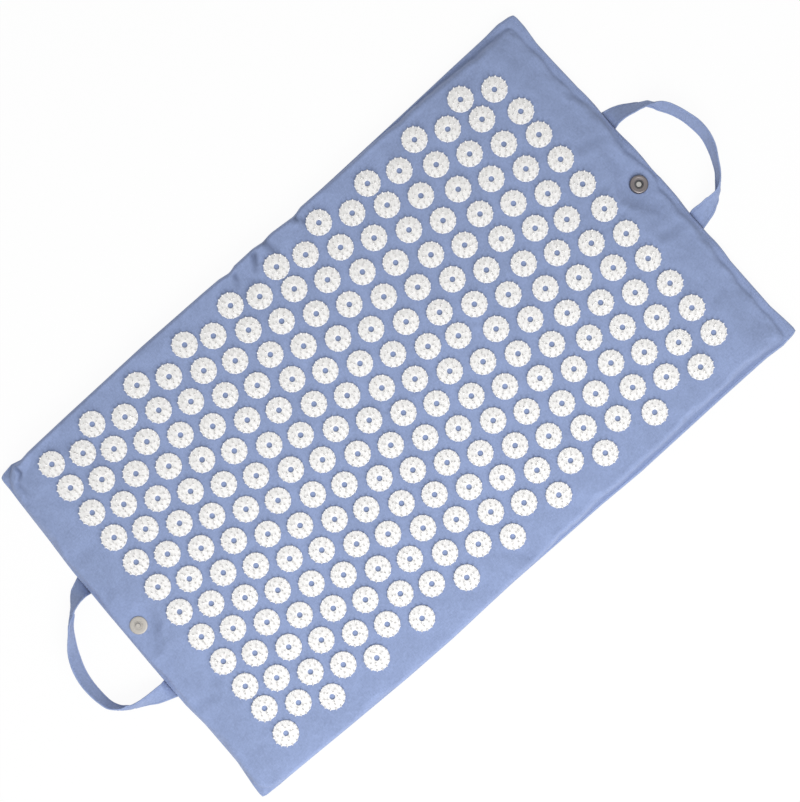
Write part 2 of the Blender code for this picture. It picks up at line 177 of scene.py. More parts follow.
# Simulated cloth: its grid, its frames, how far the held edge fades in, and the settings of the swelling
CLOTH_GRID = (138, 84)
CLOTH_FRAMES = 20
CLOTH_EDGE_RUN = 0.002
CLOTH_SETTINGS = {
    "quality": 6,
    "mass": 0.25,
    "tension_stiffness": 12,
    "compression_stiffness": 12,
    "shear_stiffness": 4,
    "bending_stiffness": 0.4,
    "use_pressure": True,
    "uniform_pressure_force": 4,
    "vertex_group_mass": "held",
    "shrink_min": -0.012,
}

# Foam slab: its gaps to the cover, the hollow under the snap and the run of its rounded edge
FOAM_INSET = 0.012
FOAM_FLOOR = 0.0018
FOAM_COVER_GAP = 0.0016
FOAM_SNAP_HOLLOW = 0.003
FOAM_HOLLOW_SPREAD = 8
FOAM_CROWN_GAP = 0.003
FOAM_EDGE_GAP = 0.003
FOAM_EDGE_RUN = 0.014
FOAM_LEAST = 0.0004

# The cover and the foam bend this far either side of the fold's line
FOLD_BLEND = 0.012

# Stitching: its place on the flange, and one stitch's shares of its length and of the thread's radius
STITCH_SHARE = 0.42
STITCH_STUD_INSET = 0.003
STITCH_SOCKET_INSET = 0.004
STITCH_SIDE_INSET = 0.003
STITCH_LONG_POINTS = 320
STITCH_SHORT_POINTS = 200
STITCH_GAP_SHARE = 0.08
STITCH_ARCH = ((0.0, -0.6), (0.18, 0.35), (0.5, 0.6), (0.82, 0.35), (1.0, -0.6))
STITCH_RISE = 1.2
THREAD_SIDES = 4

# The real outline, read off the picture: place along an edge, and how far out the edge lies there
FAR_EDGE = (
    (-0.341, 0.1995),
    (-0.323, 0.2024),
    (-0.311, 0.1999),
    (-0.299, 0.2012),
    (-0.244, 0.2028),
    (-0.146, 0.2048),
    (-0.068, 0.2046),
    (-0.046, 0.2042),
    (-0.034, 0.2022),
    (-0.026, 0.2044),
    (-0.002, 0.2048),
    (0.010, 0.2032),
    (0.021, 0.2046),
    (0.035, 0.2034),
    (0.050, 0.2020),
    (0.060, 0.2046),
    (0.088, 0.2044),
    (0.185, 0.2062),
    (0.302, 0.2087),
    (0.322, 0.2100),
    (0.341, 0.2077),
)
NEAR_EDGE = (
    (-0.341, 0.2027),
    (-0.322, 0.2040),
    (-0.244, 0.2067),
    (-0.166, 0.2088),
    (-0.107, 0.2091),
    (-0.029, 0.2069),
    (0.040, 0.2068),
    (0.088, 0.2065),
    (0.137, 0.2077),
    (0.244, 0.2059),
    (0.302, 0.2055),
    (0.322, 0.2072),
    (0.341, 0.2049),
)
SOCKET_EDGE = (
    (-0.207, 0.3419),
    (-0.190, 0.3404),
    (-0.171, 0.3383),
    (-0.112, 0.3383),
    (-0.088, 0.3408),
    (0.088, 0.3408),
    (0.112, 0.3385),
    (0.151, 0.3372),
    (0.171, 0.3368),
    (0.190, 0.3388),
    (0.207, 0.3387),
)
STUD_EDGE = (
    (-0.207, 0.3477),
    (-0.190, 0.3465),
    (-0.161, 0.3432),
    (-0.112, 0.3426),
    (-0.085, 0.3446),
    (-0.050, 0.3444),
    (0.000, 0.3430),
    (0.085, 0.3412),
    (0.122, 0.3381),
    (0.171, 0.3352),
    (0.190, 0.3336),
    (0.207, 0.3330),
)
# How wide the sewn flange shows beside the pad, at places along each side
SOCKET_FLANGE = (
    (-0.207, 0.0125),
    (-0.196, 0.0105),
    (-0.175, 0.0088),
    (-0.100, 0.0082),
    (-0.072, 0.0070),
    (-0.042, 0.0078),
    (-0.022, 0.0072),
    (-0.013, 0.0078),
    (-0.002, 0.0040),
    (0.007, 0.0036),
    (0.017, 0.0048),
    (0.034, 0.0086),
    (0.057, 0.0080),
    (0.074, 0.0050),
    (0.090, 0.0078),
    (0.165, 0.0086),
    (0.195, 0.0105),
    (0.207, 0.0115),
)
STUD_FLANGE = (
    (-0.207, 0.0030),
    (-0.150, 0.0020),
    (0.160, 0.0020),
    (0.207, 0.0040),
)
FAR_FLANGE = (
    (-0.341, 0.0045),
    (-0.310, 0.0014),
    (0.060, 0.0012),
    (0.105, 0.0017),
    (0.165, 0.0028),
    (0.204, 0.0034),
    (0.243, 0.0046),
    (0.279, 0.0066),
    (0.310, 0.0074),
    (0.341, 0.0080),
)
NEAR_FLANGE = (
    (-0.341, 0.0035),
    (-0.310, 0.0014),
    (-0.050, 0.0014),
    (0.000, 0.0022),
    (0.040, 0.0034),
    (0.080, 0.0046),
    (0.150, 0.0058),
    (0.260, 0.0060),
    (0.310, 0.0052),
    (0.341, 0.0040),
)
EDGE_WARP_RUN = 0.060
CORNER_ROUND = 0.0011
CORNER_ROUND_RUN = 0.006

# How far each hand-set row of discs lies off its even place across the mat, from the socket end
ROW_SLIDES = (
    0.0029, 0.0024, 0.0012, -0.0010, 0.0021, 0.0010, 0.0015, 0.0001, 0.0009, -0.0006,
    0.0001, -0.0009, 0.0011, -0.0018, 0.0000, -0.0017, -0.0010, -0.0013, 0.0001, -0.0018,
)

# Discs that lie well off their row's even places: row and place in it, and how far off
STRAY_DISCS = {
    (1, 9): (0.0017, -0.0034),
    (1, 10): (-0.0034, -0.0026),
    (2, 6): (-0.0027, 0.0009),
    (2, 11): (-0.0029, -0.0036),
    (6, 11): (-0.0004, -0.0037),
    (7, 5): (-0.0014, 0.0027),
    (10, 11): (0.0010, -0.0044),
    (12, 11): (0.0023, -0.0028),
    (14, 11): (0.0027, -0.0012),
    (19, 10): (0.0031, -0.0007),
    (20, 0): (-0.0006, 0.0037),
    (20, 1): (-0.0001, 0.0035),
    (20, 11): (0.0016, -0.0029),
}

# Spiked disc, and for each ring of spikes their number, place, base and lean
HOLE_SHARE = 0.215
SPIKE_RINGS = ((14, 0.950, 0.00112, 0.0006), (8, 0.62, 0.00085, 0), (5, 0.40, 0.00085, 0))
SPIKE_POINT = 0.00034
SPIKE_SIDES = 6
PLATE_THICKNESS = 0.0012
PLATE_SIDES = 28
PLATE_ROUNDING = 0.0004
HOLE_ROUNDING = 0.0003
DISC_TILT_DEGREES = 0.7
DISC_SHARP_DEGREES = 50

# Creases that the picture shows: points in picture pixels, depth and half width
CREASES = (
    (((514, 34), (523, 37)), 0.0012, 0.0016),
    (((568, 93), (577, 97), (584, 103)), 0.0014, 0.0030),
    (((579, 150), (592, 143), (605, 137)), 0.0013, 0.0045),
    (((661, 236), (673, 231), (684, 222)), 0.0013, 0.0045),
    (((232.6, 273), (235, 279), (237, 285)), 0.0028, 0.0024),
    (((252.6, 254), (254, 262), (255, 269)), 0.0036, 0.0028),
    (((261, 239.5), (267, 244), (275, 250)), 0.0040, 0.0030),
    (((293, 216), (298, 218), (305, 220)), 0.0032, 0.0026),
    (((394, 687), (387, 693), (379, 698)), 0.0016, 0.0020),
    (((10, 467), (14, 472), (14, 478), (11, 485)), 0.0030, 0.0018),
    (((13, 486), (20, 492), (27, 497)), 0.0014, 0.0024),
    (((248, 772), (254, 777), (263, 781)), 0.0022, 0.0028),
)
# How a crease fades along its line, how high its rims stand, the depth at which its painted shade is full,
# and how dark the painted shade in creases and along the seam is
CREASE_FADE = 0.7
CREASE_RIM_SHARE = 0.35
CREASE_FULL_SHADE_DEPTH = 0.0024
CREASE_SHADE = 0.9
SEAM_SHADE = 0.3

# Straps in the picture, from foot to foot: the edge on the floor and the lifted edge, in picture pixels,
# and how far the strap's middle bulges outwards there. Each strap twists once near each foot, so the edge
# that is inside at the foot is outside at the crown.
SOCKET_STRAP_PX = (
    ((600.8, 113.4), (614.2, 130.1), 0),
    ((609.0, 108.8), (619.5, 124.5), 0),
    ((618.5, 105.5), (626.5, 118.7), 0),
    ((628.0, 103.8), (633.5, 114.6), 0),
    ((636.0, 102.9), (640.0, 110.9), 0.001),
    ((641.5, 104.0), (643.8, 108.7), 0.0035),
    ((646.4, 106.7), (646.8, 106.7), 0.005),
    ((652.0, 108.4), (652.3, 103.2), 0.0035),
    ((658.5, 110.6), (659.8, 99.9), 0.001),
    ((664.0, 112.4), (667.7, 100.9), 0),
    ((671.6, 115.2), (676.7, 104.4), 0),
    ((681.8, 120.8), (689.2, 111.4), 0),
    ((692.0, 129.0), (701.0, 119.8), 0),
    ((700.2, 137.1), (709.5, 129.6), 0),
    ((707.3, 149.4), (716.3, 143.0), 0),
    ((712.4, 162.7), (719.8, 159.0), 0),
    ((715.0, 172.9), (721.2, 172.0), 0),
    ((715.3, 180.0), (720.6, 180.2), 0.001),
    ((715.2, 186.0), (718.0, 186.4), 0.0028),
    ((715.2, 190.0), (715.4, 190.4), 0.004),
    ((717.4, 195.0), (711.9, 193.0), 0.003),
    ((718.3, 200.3), (707.0, 196.9), 0.0008),
    ((716.2, 207.5), (702.2, 200.5), 0),
    ((713.2, 215.0), (697.4, 204.6), 0),
    ((708.6, 221.8), (692.0, 209.0), 0),
    ((703.3, 229.2), (687.4, 212.8), 0),
)
STUD_STRAP_PX = (
    ((77.6, 577.0), (93.7, 592.2), 0),
    ((74.2, 584.5), (87.6, 597.6), 0),
    ((72.4, 592.5), (82.4, 602.9), 0),
    ((71.7, 601.5), (78.0, 608.8), 0),
    ((71.6, 607.5), (76.2, 611.3), 0.0015),
    ((72.6, 611.5), (75.3, 613.3), 0.0028),
    ((74.3, 614.8), (74.5, 614.6), 0.0035),
    ((74.0, 619.5), (71.8, 619.8), 0.0028),
    ((73.4, 625.0), (69.0, 626.0), 0.001),
    ((74.0, 632.0), (67.2, 633.7), 0),
    ((75.6, 640.0), (66.4, 642.8), 0),
    ((77.4, 647.4), (66.4, 651.5), 0),
    ((80.8, 657.5), (68.2, 661.8), 0),
    ((84.7, 667.4), (71.8, 671.8), 0),
    ((92.1, 680.0), (80.0, 686.0), 0),
    ((98.5, 688.0), (88.2, 695.6), 0),
    ((105.5, 695.6), (97.5, 703.9), 0),
    ((113.2, 702.1), (107.8, 710.2), 0),
    ((118.8, 704.5), (116.4, 710.8), 0.001),
    ((123.5, 705.3), (122.7, 707.9), 0.0028),
    ((127.6, 705.5), (127.9, 705.2), 0.0035),
    ((131.5, 706.6), (130.7, 704.4), 0.0028),
    ((136.5, 707.4), (133.6, 702.9), 0.001),
    ((142.5, 706.2), (137.5, 700.5), 0),
    ((152.0, 704.0), (144.7, 695.3), 0),
    ((162.0, 702.0), (152.0, 689.5), 0),
    ((170.0, 699.2), (158.5, 684.6), 0),
    ((177.1, 696.2), (164.2, 680.6), 0),
)
STRAP_WIDTH = 0.021
STRAP_THICKNESS = 0.0015
STRAP_FLOOR_GAP = 0.0003
STRAP_LINE_STEPS = 240
STRAP_LIFT_ROUNDS = 12
STRAP_PUCKERS = ((0.05, 0.99), (0.03, 0.36))
STITCH_CHANNEL = 0.76
STITCH_CHANNEL_SHADE = 0.45
STITCH_LIFT_SHARE = 0.66
STITCH_FREE_STEPS = 10
STRAP_WORN_FROM = 0.95

# Half of a strap's cross-section: share of its half width, share of its half thickness
STRAP_SECTION_SHARES = (
    (0.00, 0.72),
    (0.40, 0.74),
    (0.66, 0.80),
    (STITCH_CHANNEL, 0.62),
    (0.82, 0.70),
    (0.90, 1.00),
    (0.97, 0.85),
    (1.00, 0.35),
)

# Straps' sewn feet: their places across the mat, how the seam dips to them, and where the strap bends
FOOT_CLEARANCE = 0.0001
FOOT_RUN = 0.002
FOOT_PLACES = (0.0680, -0.0640)
FOOT_FLAT = 0.0045
FOOT_DIP_RUN = 0.028
FOOT_DIP_REACH = 0.02
FOOT_HOLD = 0.001
FOOT_BEND = 0.015

# Snap: the turned profiles of the socket's cap and the stud's plate
TURNED_SIDES = 56
TURNED_SHARP_DEGREES = 35
CAP_WALL = 0.0008
CAP_FOOT = 0.0003
CAP_FOOT_INSET = 0.0002
# In from the cap's rim, and down from its top
CAP_INSIDE = ((0.0008, 0.0022), (0.0024, 0.0010))
CAP_FACE = ((0.0018, 0.0), (0.0013, 0.0001), (0.0005, 0.0008), (0.0, 0.0017))
# Radius and depth of the round mouth's lip
CAP_MOUTH = (
    (0.0046, 0.0010),
    (0.0044, 0.0009),
    (0.0046, 0.0006),
    (0.0052, 0.00045),
    (0.0058, 0.0005),
    (0.0062, 0.00035),
)
STUD_HOLE = 0.0020
STUD_GROOVE = ((0.0034, 0.0), (0.0036, 0.0002), (0.0042, 0.0002), (0.0044, 0.0))
STUD_RIM = ((0.0014, 0.0), (0.0006, 0.0001), (0.0001, 0.0004))
STUD_FOOT = 0.0002

# Cotton: sizes of its slubs, mottling, specks, creased streaks, worn patches and soft bumps
SLUB_SIZE = 0.004
MOTTLE_SIZE = 0.035
SPECK_SIZE = 0.0011
STREAK_SIZE = 0.0045
WORN_PATCH_SIZE = 0.006
COTTON_BUMP_SIZE = 0.012
COTTON_BUMP_DEPTH = 0.0007
WEAVE_DEPTH_SHARE = 0.25

# Sewing thread
THREAD_LEVEL = 1.25
TWIST_SIZE = 0.0006
TWIST_DEPTH = 0.0001

# Moulded plastic
SCATTER_DEPTH = 0.0025
CLOUD_SIZE = 0.004
CLOUD_DEPTH = 0.00012
DIRT_SIZE = 0.0012
FLOW_SPOKES = 7

# Plated metal
SCRATCH_SIZE = 0.0016
SCRATCH_DEPTH = 0.00004
DULL_PATCH_SIZE = 0.004
PIT_SIZE = 0.0009

# Ferrite and foam
GRAIN_SIZE = 0.0007
GRAIN_DEPTH = 0.00005
CELL_SIZE = 0.0011
CELL_DEPTH = 0.0003
YELLOWING_SIZE = 0.03

# Stage
FLOOR_HALF = 6
FLOOR_GAP = 0.0003
FLOOR_GLOW_SHARE = 0.94
LAMP_SIZE = 1.1
LAMP_PLACE = (-0.28, -0.85, 1.0)
SENSOR_WIDTH_MM = 36

FULL_TURN = 2 * math.pi
UP = Vector((0, 0, 1))

# Places and sizes that come from the frame
fold_x = next(joint for joint in frame["joints"] if joint["name"] == "mat_fold")["pos_m"][0]


def node_foot(node):
    """The middle of a node's underside."""
    low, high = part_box(node)
    return Vector(((low.x + high.x) / 2, (low.y + high.y) / 2, low.z))


def node_radius(node):
    """Half of a node's reach along the mat."""
    low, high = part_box(node)
    return (high.x - low.x) / 2


def node_height(node):
    """A node's reach upwards, from its lowest to its highest point."""
    low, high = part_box(node)
    return high.z - low.z


socket_place = node_foot("snap_socket_cap")
stud_place = node_foot("snap_stud_plate")
socket_radius = node_radius("snap_socket_cap")
plate_radius = node_radius("snap_stud_plate")
disc_radius = node_radius("disc_row_01")
seat_height = socket_place.z - DISC_LIFT
disc_rows = sorted(name for name in frame["nodes"] if name.startswith("disc_row_"))
first_row_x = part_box(disc_rows[0])[1].x
last_row_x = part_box(disc_rows[-1])[0].x


def disc_places(node):
    """The middles of a row's discs as the picture has them: eleven in an odd row, twelve in an even one."""
    low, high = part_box(node)
    row = int(node[-2:])
    count = 12 - row % 2
    first, last = low.y + disc_radius, high.y - disc_radius
    places = []
    for index in range(count):
        along = first + (last - first) * index / (count - 1) + ROW_SLIDES[row - 1]
        stray = STRAY_DISCS.get((row, index), (0, 0))
        places.append(Vector(((low.x + high.x) / 2 + stray[0], along + stray[1], low.z)))
    return places


def colour_property(name, description, default):
    """A colour that the user can change."""
    return FloatVectorProperty(
        name=name,
        description=description,
        subtype="COLOR",
        default=default,
        min=0,
        max=1,
    )


def length_property(name, description, default):
    """A length in metres that the user can change."""
    return FloatProperty(
        name=name,
        description=description,
        subtype="DISTANCE",
        unit="LENGTH",
        default=default,
        precision=4,
    )


class MatCoverSettings(PropertyGroup):
    cloth: colour_property("Cloth", "Colour of the cotton cover", (0.266, 0.335, 0.541))
    thread_spacing: length_property(
        "Thread spacing", "Distance between neighbouring threads of the weave", 0.0005
    )
    swelling: length_property(
        "Swelling", "The most that the simulated cloth may leave the pad's smooth form", 0.002
    )
    undulation: length_property("Undulation", "Height of the soft waves over the pad", 0.0005)
    stitch_length: length_property("Stitch length", "Length of one stitch in the seams", 0.0032)
    thread_width: length_property("Thread width", "Thickness of the sewing thread", 0.0006)


class MatDiscSettings(PropertyGroup):
    plastic: colour_property("Plastic", "Colour of the moulded discs", (0.938, 0.925, 0.909))
    scatter: length_property("Scatter", "How far a disc may lie off its place in the row", 0.0002)
    seed: IntProperty(name="Seed", description="Start of the scatter's random numbers", default=7)


class MatStrapSettings(PropertyGroup):
    cloth: colour_property(
        "Strap cloth", "Colour of the folded cotton straps", (0.262, 0.329, 0.528)
    )
    stitch_inset: length_property(
        "Stitch inset", "Distance from a strap's edge to its stitching", 0.0022
    )


class MatSnapSettings(PropertyGroup):
    socket: colour_property("Socket", "Colour of the socket's gunmetal plating", (0.20, 0.18, 0.18))
    plate: colour_property("Stud plate", "Colour of the stud's pale plating", (0.44, 0.42, 0.39))


class MatStageSettings(PropertyGroup):
    key_power: FloatProperty(
        name="Lamp power",
        description="Power of the big soft lamp",
        subtype="POWER",
        unit="POWER",
        default=13.4,
    )
    fill: FloatProperty(
        name="Fill",
        description="Strength of the light from all round",
        default=0.60,
        min=0,
    )


class Tone:
    """A value that a shader works out. Sums and products of tones become Math nodes."""

    def __init__(self, maker, socket):
        self.maker = maker
        self.socket = socket

    def _math(self, operation, first, second=None):
        values = {0: first} if second is None else {0: first, 1: second}
        return self.maker.node("ShaderNodeMath", {"operation": operation}, values)

    def __add__(self, other):
        return self._math("ADD", self, other)

    def __radd__(self, other):
        return self._math("ADD", other, self)

    def __sub__(self, other):
        return self._math("SUBTRACT", self, other)

    def __rsub__(self, other):
        return self._math("SUBTRACT", other, self)

    def __mul__(self, other):
        return self._math("MULTIPLY", self, other)

    def __rmul__(self, other):
        return self._math("MULTIPLY", other, self)

    def sine(self):
        return self._math("SINE", self)

    def size(self):
        return self._math("ABSOLUTE", self)

    def at_most(self, other):
        return self._math("MINIMUM", self, other)

    def at_least(self, other):
        return self._math("MAXIMUM", self, other)


class NodeMaker:
    """Adds nodes to the tree of a material or of the world."""

    def __init__(self, tree):
        self.tree = tree

    def node(self, kind, settings=None, values=None, output=0):
        """Adds a node: its settings first, then the values or links of its sockets."""
        made = self.tree.nodes.new(kind)
        for name, value in (settings or {}).items():
            setattr(made, name, value)
        for key, value in (values or {}).items():
            if isinstance(value, Tone):
                self.tree.links.new(value.socket, made.inputs[key])
            else:
                made.inputs[key].default_value = value
        return Tone(self, made.outputs[output])

    def seen_directly(self):
        """1 for rays that show the stage itself, also in metal, and 0 for those that light the object."""
        path = self.tree.nodes.new("ShaderNodeLightPath")
        kinds = ("Is Camera Ray", "Is Glossy Ray", "Is Transmission Ray")
        direct, glossy, through = [Tone(self, path.outputs[kind]) for kind in kinds]
        return direct.at_least(glossy).at_least(through)


class Finish(NodeMaker):
    """A material in the making: one Principled surface, and the nodes that vary it."""

    def __init__(self, name, constants):
        self.material = bpy.data.materials.new(name)
        self.material.use_nodes = True
        super().__init__(self.material.node_tree)
        self.surface = self.tree.nodes["Principled BSDF"]
        for socket, value in constants.items():
            self.surface.inputs[socket].default_value = value

    def feed(self, socket, tone):
        self.tree.links.new(tone.socket, self.surface.inputs[socket])

    def place(self):
        """Where a point lies in the object's own coordinates, so that marks stay on a piece as it moves."""
        return self.node("ShaderNodeTexCoord", output=3)

    def stretched(self, vector, scale):
        settings = {"operation": "MULTIPLY"}
        return self.node("ShaderNodeVectorMath", settings, {0: vector, 1: scale})

    def along(self, vector, axis):
        return self.node("ShaderNodeSeparateXYZ", None, {0: vector}, output=axis)

    def noise(self, vector, size, detail=2.0, roughness=0.5):
        values = {"Vector": vector, "Scale": 1 / size, "Detail": detail, "Roughness": roughness}
        return self.node("ShaderNodeTexNoise", None, values)

    def attribute(self, name, output=2):
        """What the mesh stores under a name: its number (output 2) or its vector (output 1)."""
        return self.node("ShaderNodeAttribute", {"attribute_name": name}, None, output=output)

    def between(self, tone, low, high):
        """0 where the tone is at low, 1 where it is at high, smooth between them."""
        settings = {"interpolation_type": "SMOOTHSTEP"}
        values = {"Value": tone, "From Min": low, "From Max": high}
        return self.node("ShaderNodeMapRange", settings, values)

    def blended(self, share, first, second):
        colours = {0: share, 6: first, 7: second}
        return self.node("ShaderNodeMix", {"data_type": "RGBA"}, colours, output=2)

    def mottled(self, tone, rgb, dark, light, low=0.3, high=0.7):
        """A colour that goes from a darker to a lighter level as the tone rises."""
        return self.blended(self.between(tone, low, high), colour(rgb, dark), colour(rgb, light))

    def bumped(self, height, depth, normal=None):
        values = {"Height": height, "Distance": depth, "Strength": 1.0}
        if normal is not None:
            values["Normal"] = normal
        return self.node("ShaderNodeBump", None, values)


def colour(rgb, level=1.0):
    """A full colour from three channels, made lighter or darker by a level."""
    return (*[min(channel * level, 1) for channel in rgb], 1)


def cotton(name, rgb, thread_spacing):
    """Plain-weave cotton: crossing threads, uneven dye, painted shade in creases, seams and stitch channels,
    and paler worn edges.
    """
    finish = Finish(name, {"Sheen Weight": 0.18, "Sheen Roughness": 0.5, "Specular IOR Level": 0.2})
    place = finish.place()
    turn = FULL_TURN / 2 / thread_spacing
    warp = (finish.along(place, 0) * turn).sine().size()
    weft = (finish.along(place, 1) * turn).sine().size()
    weave = warp.at_least(weft)
    slub = finish.noise(finish.stretched(place, (1, 6, 1)), SLUB_SIZE, 3)
    cross_slub = finish.noise(finish.stretched(place, (6, 1, 1)), SLUB_SIZE, 3)
    mottle = finish.noise(place, MOTTLE_SIZE, 4, 0.6)
    speck = finish.noise(place, SPECK_SIZE, 1)
    threads = finish.between(slub * 0.5 + cross_slub * 0.5, 0.3, 0.7)
    run = finish.along(place, 0) + finish.along(place, 1)
    across = finish.along(place, 0) - finish.along(place, 1)
    bias = finish.node("ShaderNodeCombineXYZ", None, {0: run, 1: across * 4.0})
    streak = finish.noise(bias, STREAK_SIZE, 3, 0.6)
    light = mottle * 0.3 + threads * 0.25 + streak * 0.25 + speck * 0.2
    dyed = finish.mottled(light, rgb, 0.86, 1.14)
    # Painted shade: the cloth darkens in creases, along the seam and in stitch channels, as the mesh's
    # attribute says
    painted_crease_shade = finish.attribute("painted_crease_shade")
    shaded = finish.blended(painted_crease_shade, dyed, colour(rgb, 0.66))
    patches = finish.between(finish.noise(place, WORN_PATCH_SIZE, 3), 0.35, 0.65)
    wear = finish.attribute("wear") * patches
    worn = finish.blended(wear * 0.35, shaded, colour(rgb, 1.35))
    finish.feed("Base Color", worn)
    finish.feed("Roughness", 0.88 + mottle * 0.08)
    soft = finish.bumped(finish.noise(place, COTTON_BUMP_SIZE, 3, 0.55), COTTON_BUMP_DEPTH)
    fine = finish.bumped(weave * 0.7 + speck * 0.3, thread_spacing * WEAVE_DEPTH_SHARE, soft)
    finish.feed("Normal", fine)
    return finish.material


def sewing_thread(name, rgb):
    """Twisted cotton thread."""
    finish = Finish(name, {"Roughness": 0.8, "Sheen Weight": 0.1})
    place = finish.place()
    twist = finish.noise(finish.stretched(place, (1, 1, 4)), TWIST_SIZE, 2)
    finish.feed("Base Color", finish.mottled(twist, rgb, 0.85, 1.1))
    finish.feed("Normal", finish.bumped(twist, TWIST_DEPTH))
    return finish.material


def moulded_plastic(name, rgb):
    """Satin off-white plastic, with faint grey flow lines, grey at the spikes' feet that is partly dusty and
    partly painted shade, and polished points.
    """
    constants = {
        "Specular IOR Level": 0.2,
        "Subsurface Weight": 0.5,
        "Subsurface Scale": SCATTER_DEPTH,
        "Subsurface Radius": (1, 1, 1),
    }
    finish = Finish(name, constants)
    place = finish.place()
    local = finish.attribute("disc_place", 1)
    across = finish.along(local, 0)
    along = finish.along(local, 1)
    bearing = finish.node("ShaderNodeMath", {"operation": "ARCTAN2"}, {0: along, 1: across})
    spokes = finish.between((bearing * FLOW_SPOKES).sine().size(), 0.10, 0.0)
    cloud = finish.noise(place, CLOUD_SIZE, 3, 0.6)
    flow = spokes * finish.between(cloud, 0.45, 0.62)
    speck = finish.between(finish.noise(place, DIRT_SIZE, 2), 0.66, 0.76)
    dust_and_shade = finish.attribute("dust_and_shade")
    clean = finish.mottled(cloud, rgb, 0.965, 1.02)
    marked = finish.blended((flow * 0.05 + speck * 0.05).at_most(1), clean, colour(rgb, 0.55))
    grey = (rgb[0] * 0.95, rgb[1] * 0.98, rgb[2] * 1.04)
    # Dust and painted shade: greyer at the spikes' feet, in the centre hole and under the rim
    finish.feed("Base Color", finish.blended(dust_and_shade * 0.03, marked, colour(grey, 0.62)))
    finish.feed("Roughness", 0.46 + cloud * 0.16 + dust_and_shade * 0.1)
    finish.feed("Normal", finish.bumped(cloud, CLOUD_DEPTH))
    return finish.material


def plated_metal(name, rgb, roughness, marks=0.5):
    """Plated steel with fine rubbed scratches and duller patches."""
    finish = Finish(name, {"Metallic": 1.0})
    place = finish.place()
    rubbed = finish.noise(finish.stretched(place, (1, 9, 1)), SCRATCH_SIZE, 4, 0.65)
    patch = finish.noise(place, DULL_PATCH_SIZE, 3, 0.6)
    pit = finish.between(finish.noise(place, PIT_SIZE, 1), 0.68, 0.76)
    plain = finish.mottled(rubbed, rgb, 0.88, 1.1)
    finish.feed("Base Color", finish.blended(pit * marks, plain, colour(rgb, 0.35)))
    finish.feed("Roughness", (roughness - 0.08) + rubbed * 0.1 + patch * 0.1)
    finish.feed("Normal", finish.bumped(rubbed, SCRATCH_DEPTH))
    return finish.material


def ferrite(name, rgb):
    """Black ceramic magnet: matt, slightly grainy."""
    finish = Finish(name, {})
    place = finish.place()
    grain = finish.noise(place, GRAIN_SIZE, 2)
    finish.feed("Base Color", finish.mottled(grain, rgb, 0.8, 1.5, high=0.75))
    finish.feed("Roughness", 0.5 + grain * 0.2)
    finish.feed("Normal", finish.bumped(grain, GRAIN_DEPTH))
    return finish.material


def open_foam(name, rgb):
    """Pale polyurethane foam: open cells with painted shade in their hollows, and slight yellowing."""
    finish = Finish(name, {})
    place = finish.place()
    values = {"Vector": place, "Scale": 1 / CELL_SIZE}
    cells = finish.node("ShaderNodeTexVoronoi", {"feature": "DISTANCE_TO_EDGE"}, values)
    rim = finish.between(cells, 0.0, 0.12)
    yellow = finish.noise(place, YELLOWING_SIZE, 3)
    yellowed = (rgb[0], rgb[1] * 0.97, rgb[2] * 0.86)
    plain = finish.blended(finish.between(yellow, 0.3, 0.7), colour(rgb), colour(yellowed))
    # Painted shade: darker inside each open cell, away from its walls
    finish.feed("Base Color", finish.blended(rim, plain, colour(rgb, 0.72)))
    finish.feed("Roughness", 0.88 + yellow * 0.1)
    finish.feed("Normal", finish.bumped(1 - rim, CELL_DEPTH))
    return finish.material


def new_piece(name, points, faces, material, smooth=True):
    """A mesh object from its points and faces, with its material."""
    mesh = bpy.data.meshes.new(name)
    mesh.from_pydata([tuple(point) for point in points], [], [tuple(face) for face in faces])
    mesh.validate()
    mesh.materials.append(material)
    if smooth:
        mesh.shade_smooth()
    obj = bpy.data.objects.new(name, mesh)
    bpy.context.scene.collection.objects.link(obj)
    return obj


def face_outwards(obj):
    """Turns every face of a closed piece outwards."""
    form = bmesh.new()
    form.from_mesh(obj.data)
    bmesh.ops.recalc_face_normals(form, faces=form.faces)
    form.to_mesh(obj.data)
    form.free()


def write_attribute(obj, name, values):
    attribute = obj.data.attributes.new(name, "FLOAT", "POINT")
    attribute.data.foreach_set("value", np.asarray(values, np.float32).ravel())


def write_vector_attribute(obj, name, values):
    attribute = obj.data.attributes.new(name, "FLOAT_VECTOR", "POINT")
    attribute.data.foreach_set("vector", np.asarray(values, np.float32).ravel())


def paint(node, material):
    """Gives a carried-over node its finish."""
    slots = frame["nodes"][node].data.materials
    slots.clear()
    slots.append(material)


def smooth_share(share):
    """The share held between 0 and 1, with a soft start and end."""
    share = np.clip(share, 0.0, 1.0)
    return share * share * (3 - 2 * share)


def hump(value, middle, half_width):
    """1 at the middle, falling smoothly to nothing on both sides of it."""
    return np.exp(-(((value - middle) / half_width) ** 2))


def photo_place(across_px, down_px, level):
    """The place on the mat that a point of the picture shows, at a level above the floor."""
    scale = FLOOR_SEEN / PICTURE_WIDTH_PX * (CAMERA_HEIGHT - level) / CAMERA_HEIGHT
    right = (across_px - PICTURE_WIDTH_PX / 2) * scale
    up = (PICTURE_HEIGHT_PX / 2 - down_px) * scale
    turn = math.radians(CAMERA_TURN_DEGREES)
    return (
        CAMERA_OVER[0] + right * math.cos(turn) - up * math.sin(turn),
        CAMERA_OVER[1] + right * math.sin(turn) + up * math.cos(turn),
    )


def stations(half, end_reach, steps, middle=None):
    """Places from -half to half, close together near both ends and near a place between them."""
    close_step, wide_step = steps
    close_ups = [(-half, end_reach), (half, end_reach)]
    if middle is not None:
        close_ups.append((middle, MIDDLE_REACH))
    places = [-half]
    while places[-1] < half:
        here = places[-1]
        away = min((abs(here - spot) - reach) / reach for spot, reach in close_ups)
        share = float(smooth_share(away))
        places.append(here + close_step + (wide_step - close_step) * share)
    return (np.array(places) + half) * (2 * half) / (places[-1] + half) - half


def table_value(table, along):
    """A table's value at a place, straight between the places that it names."""
    return np.interp(along, [place for place, value in table], [value for place, value in table])


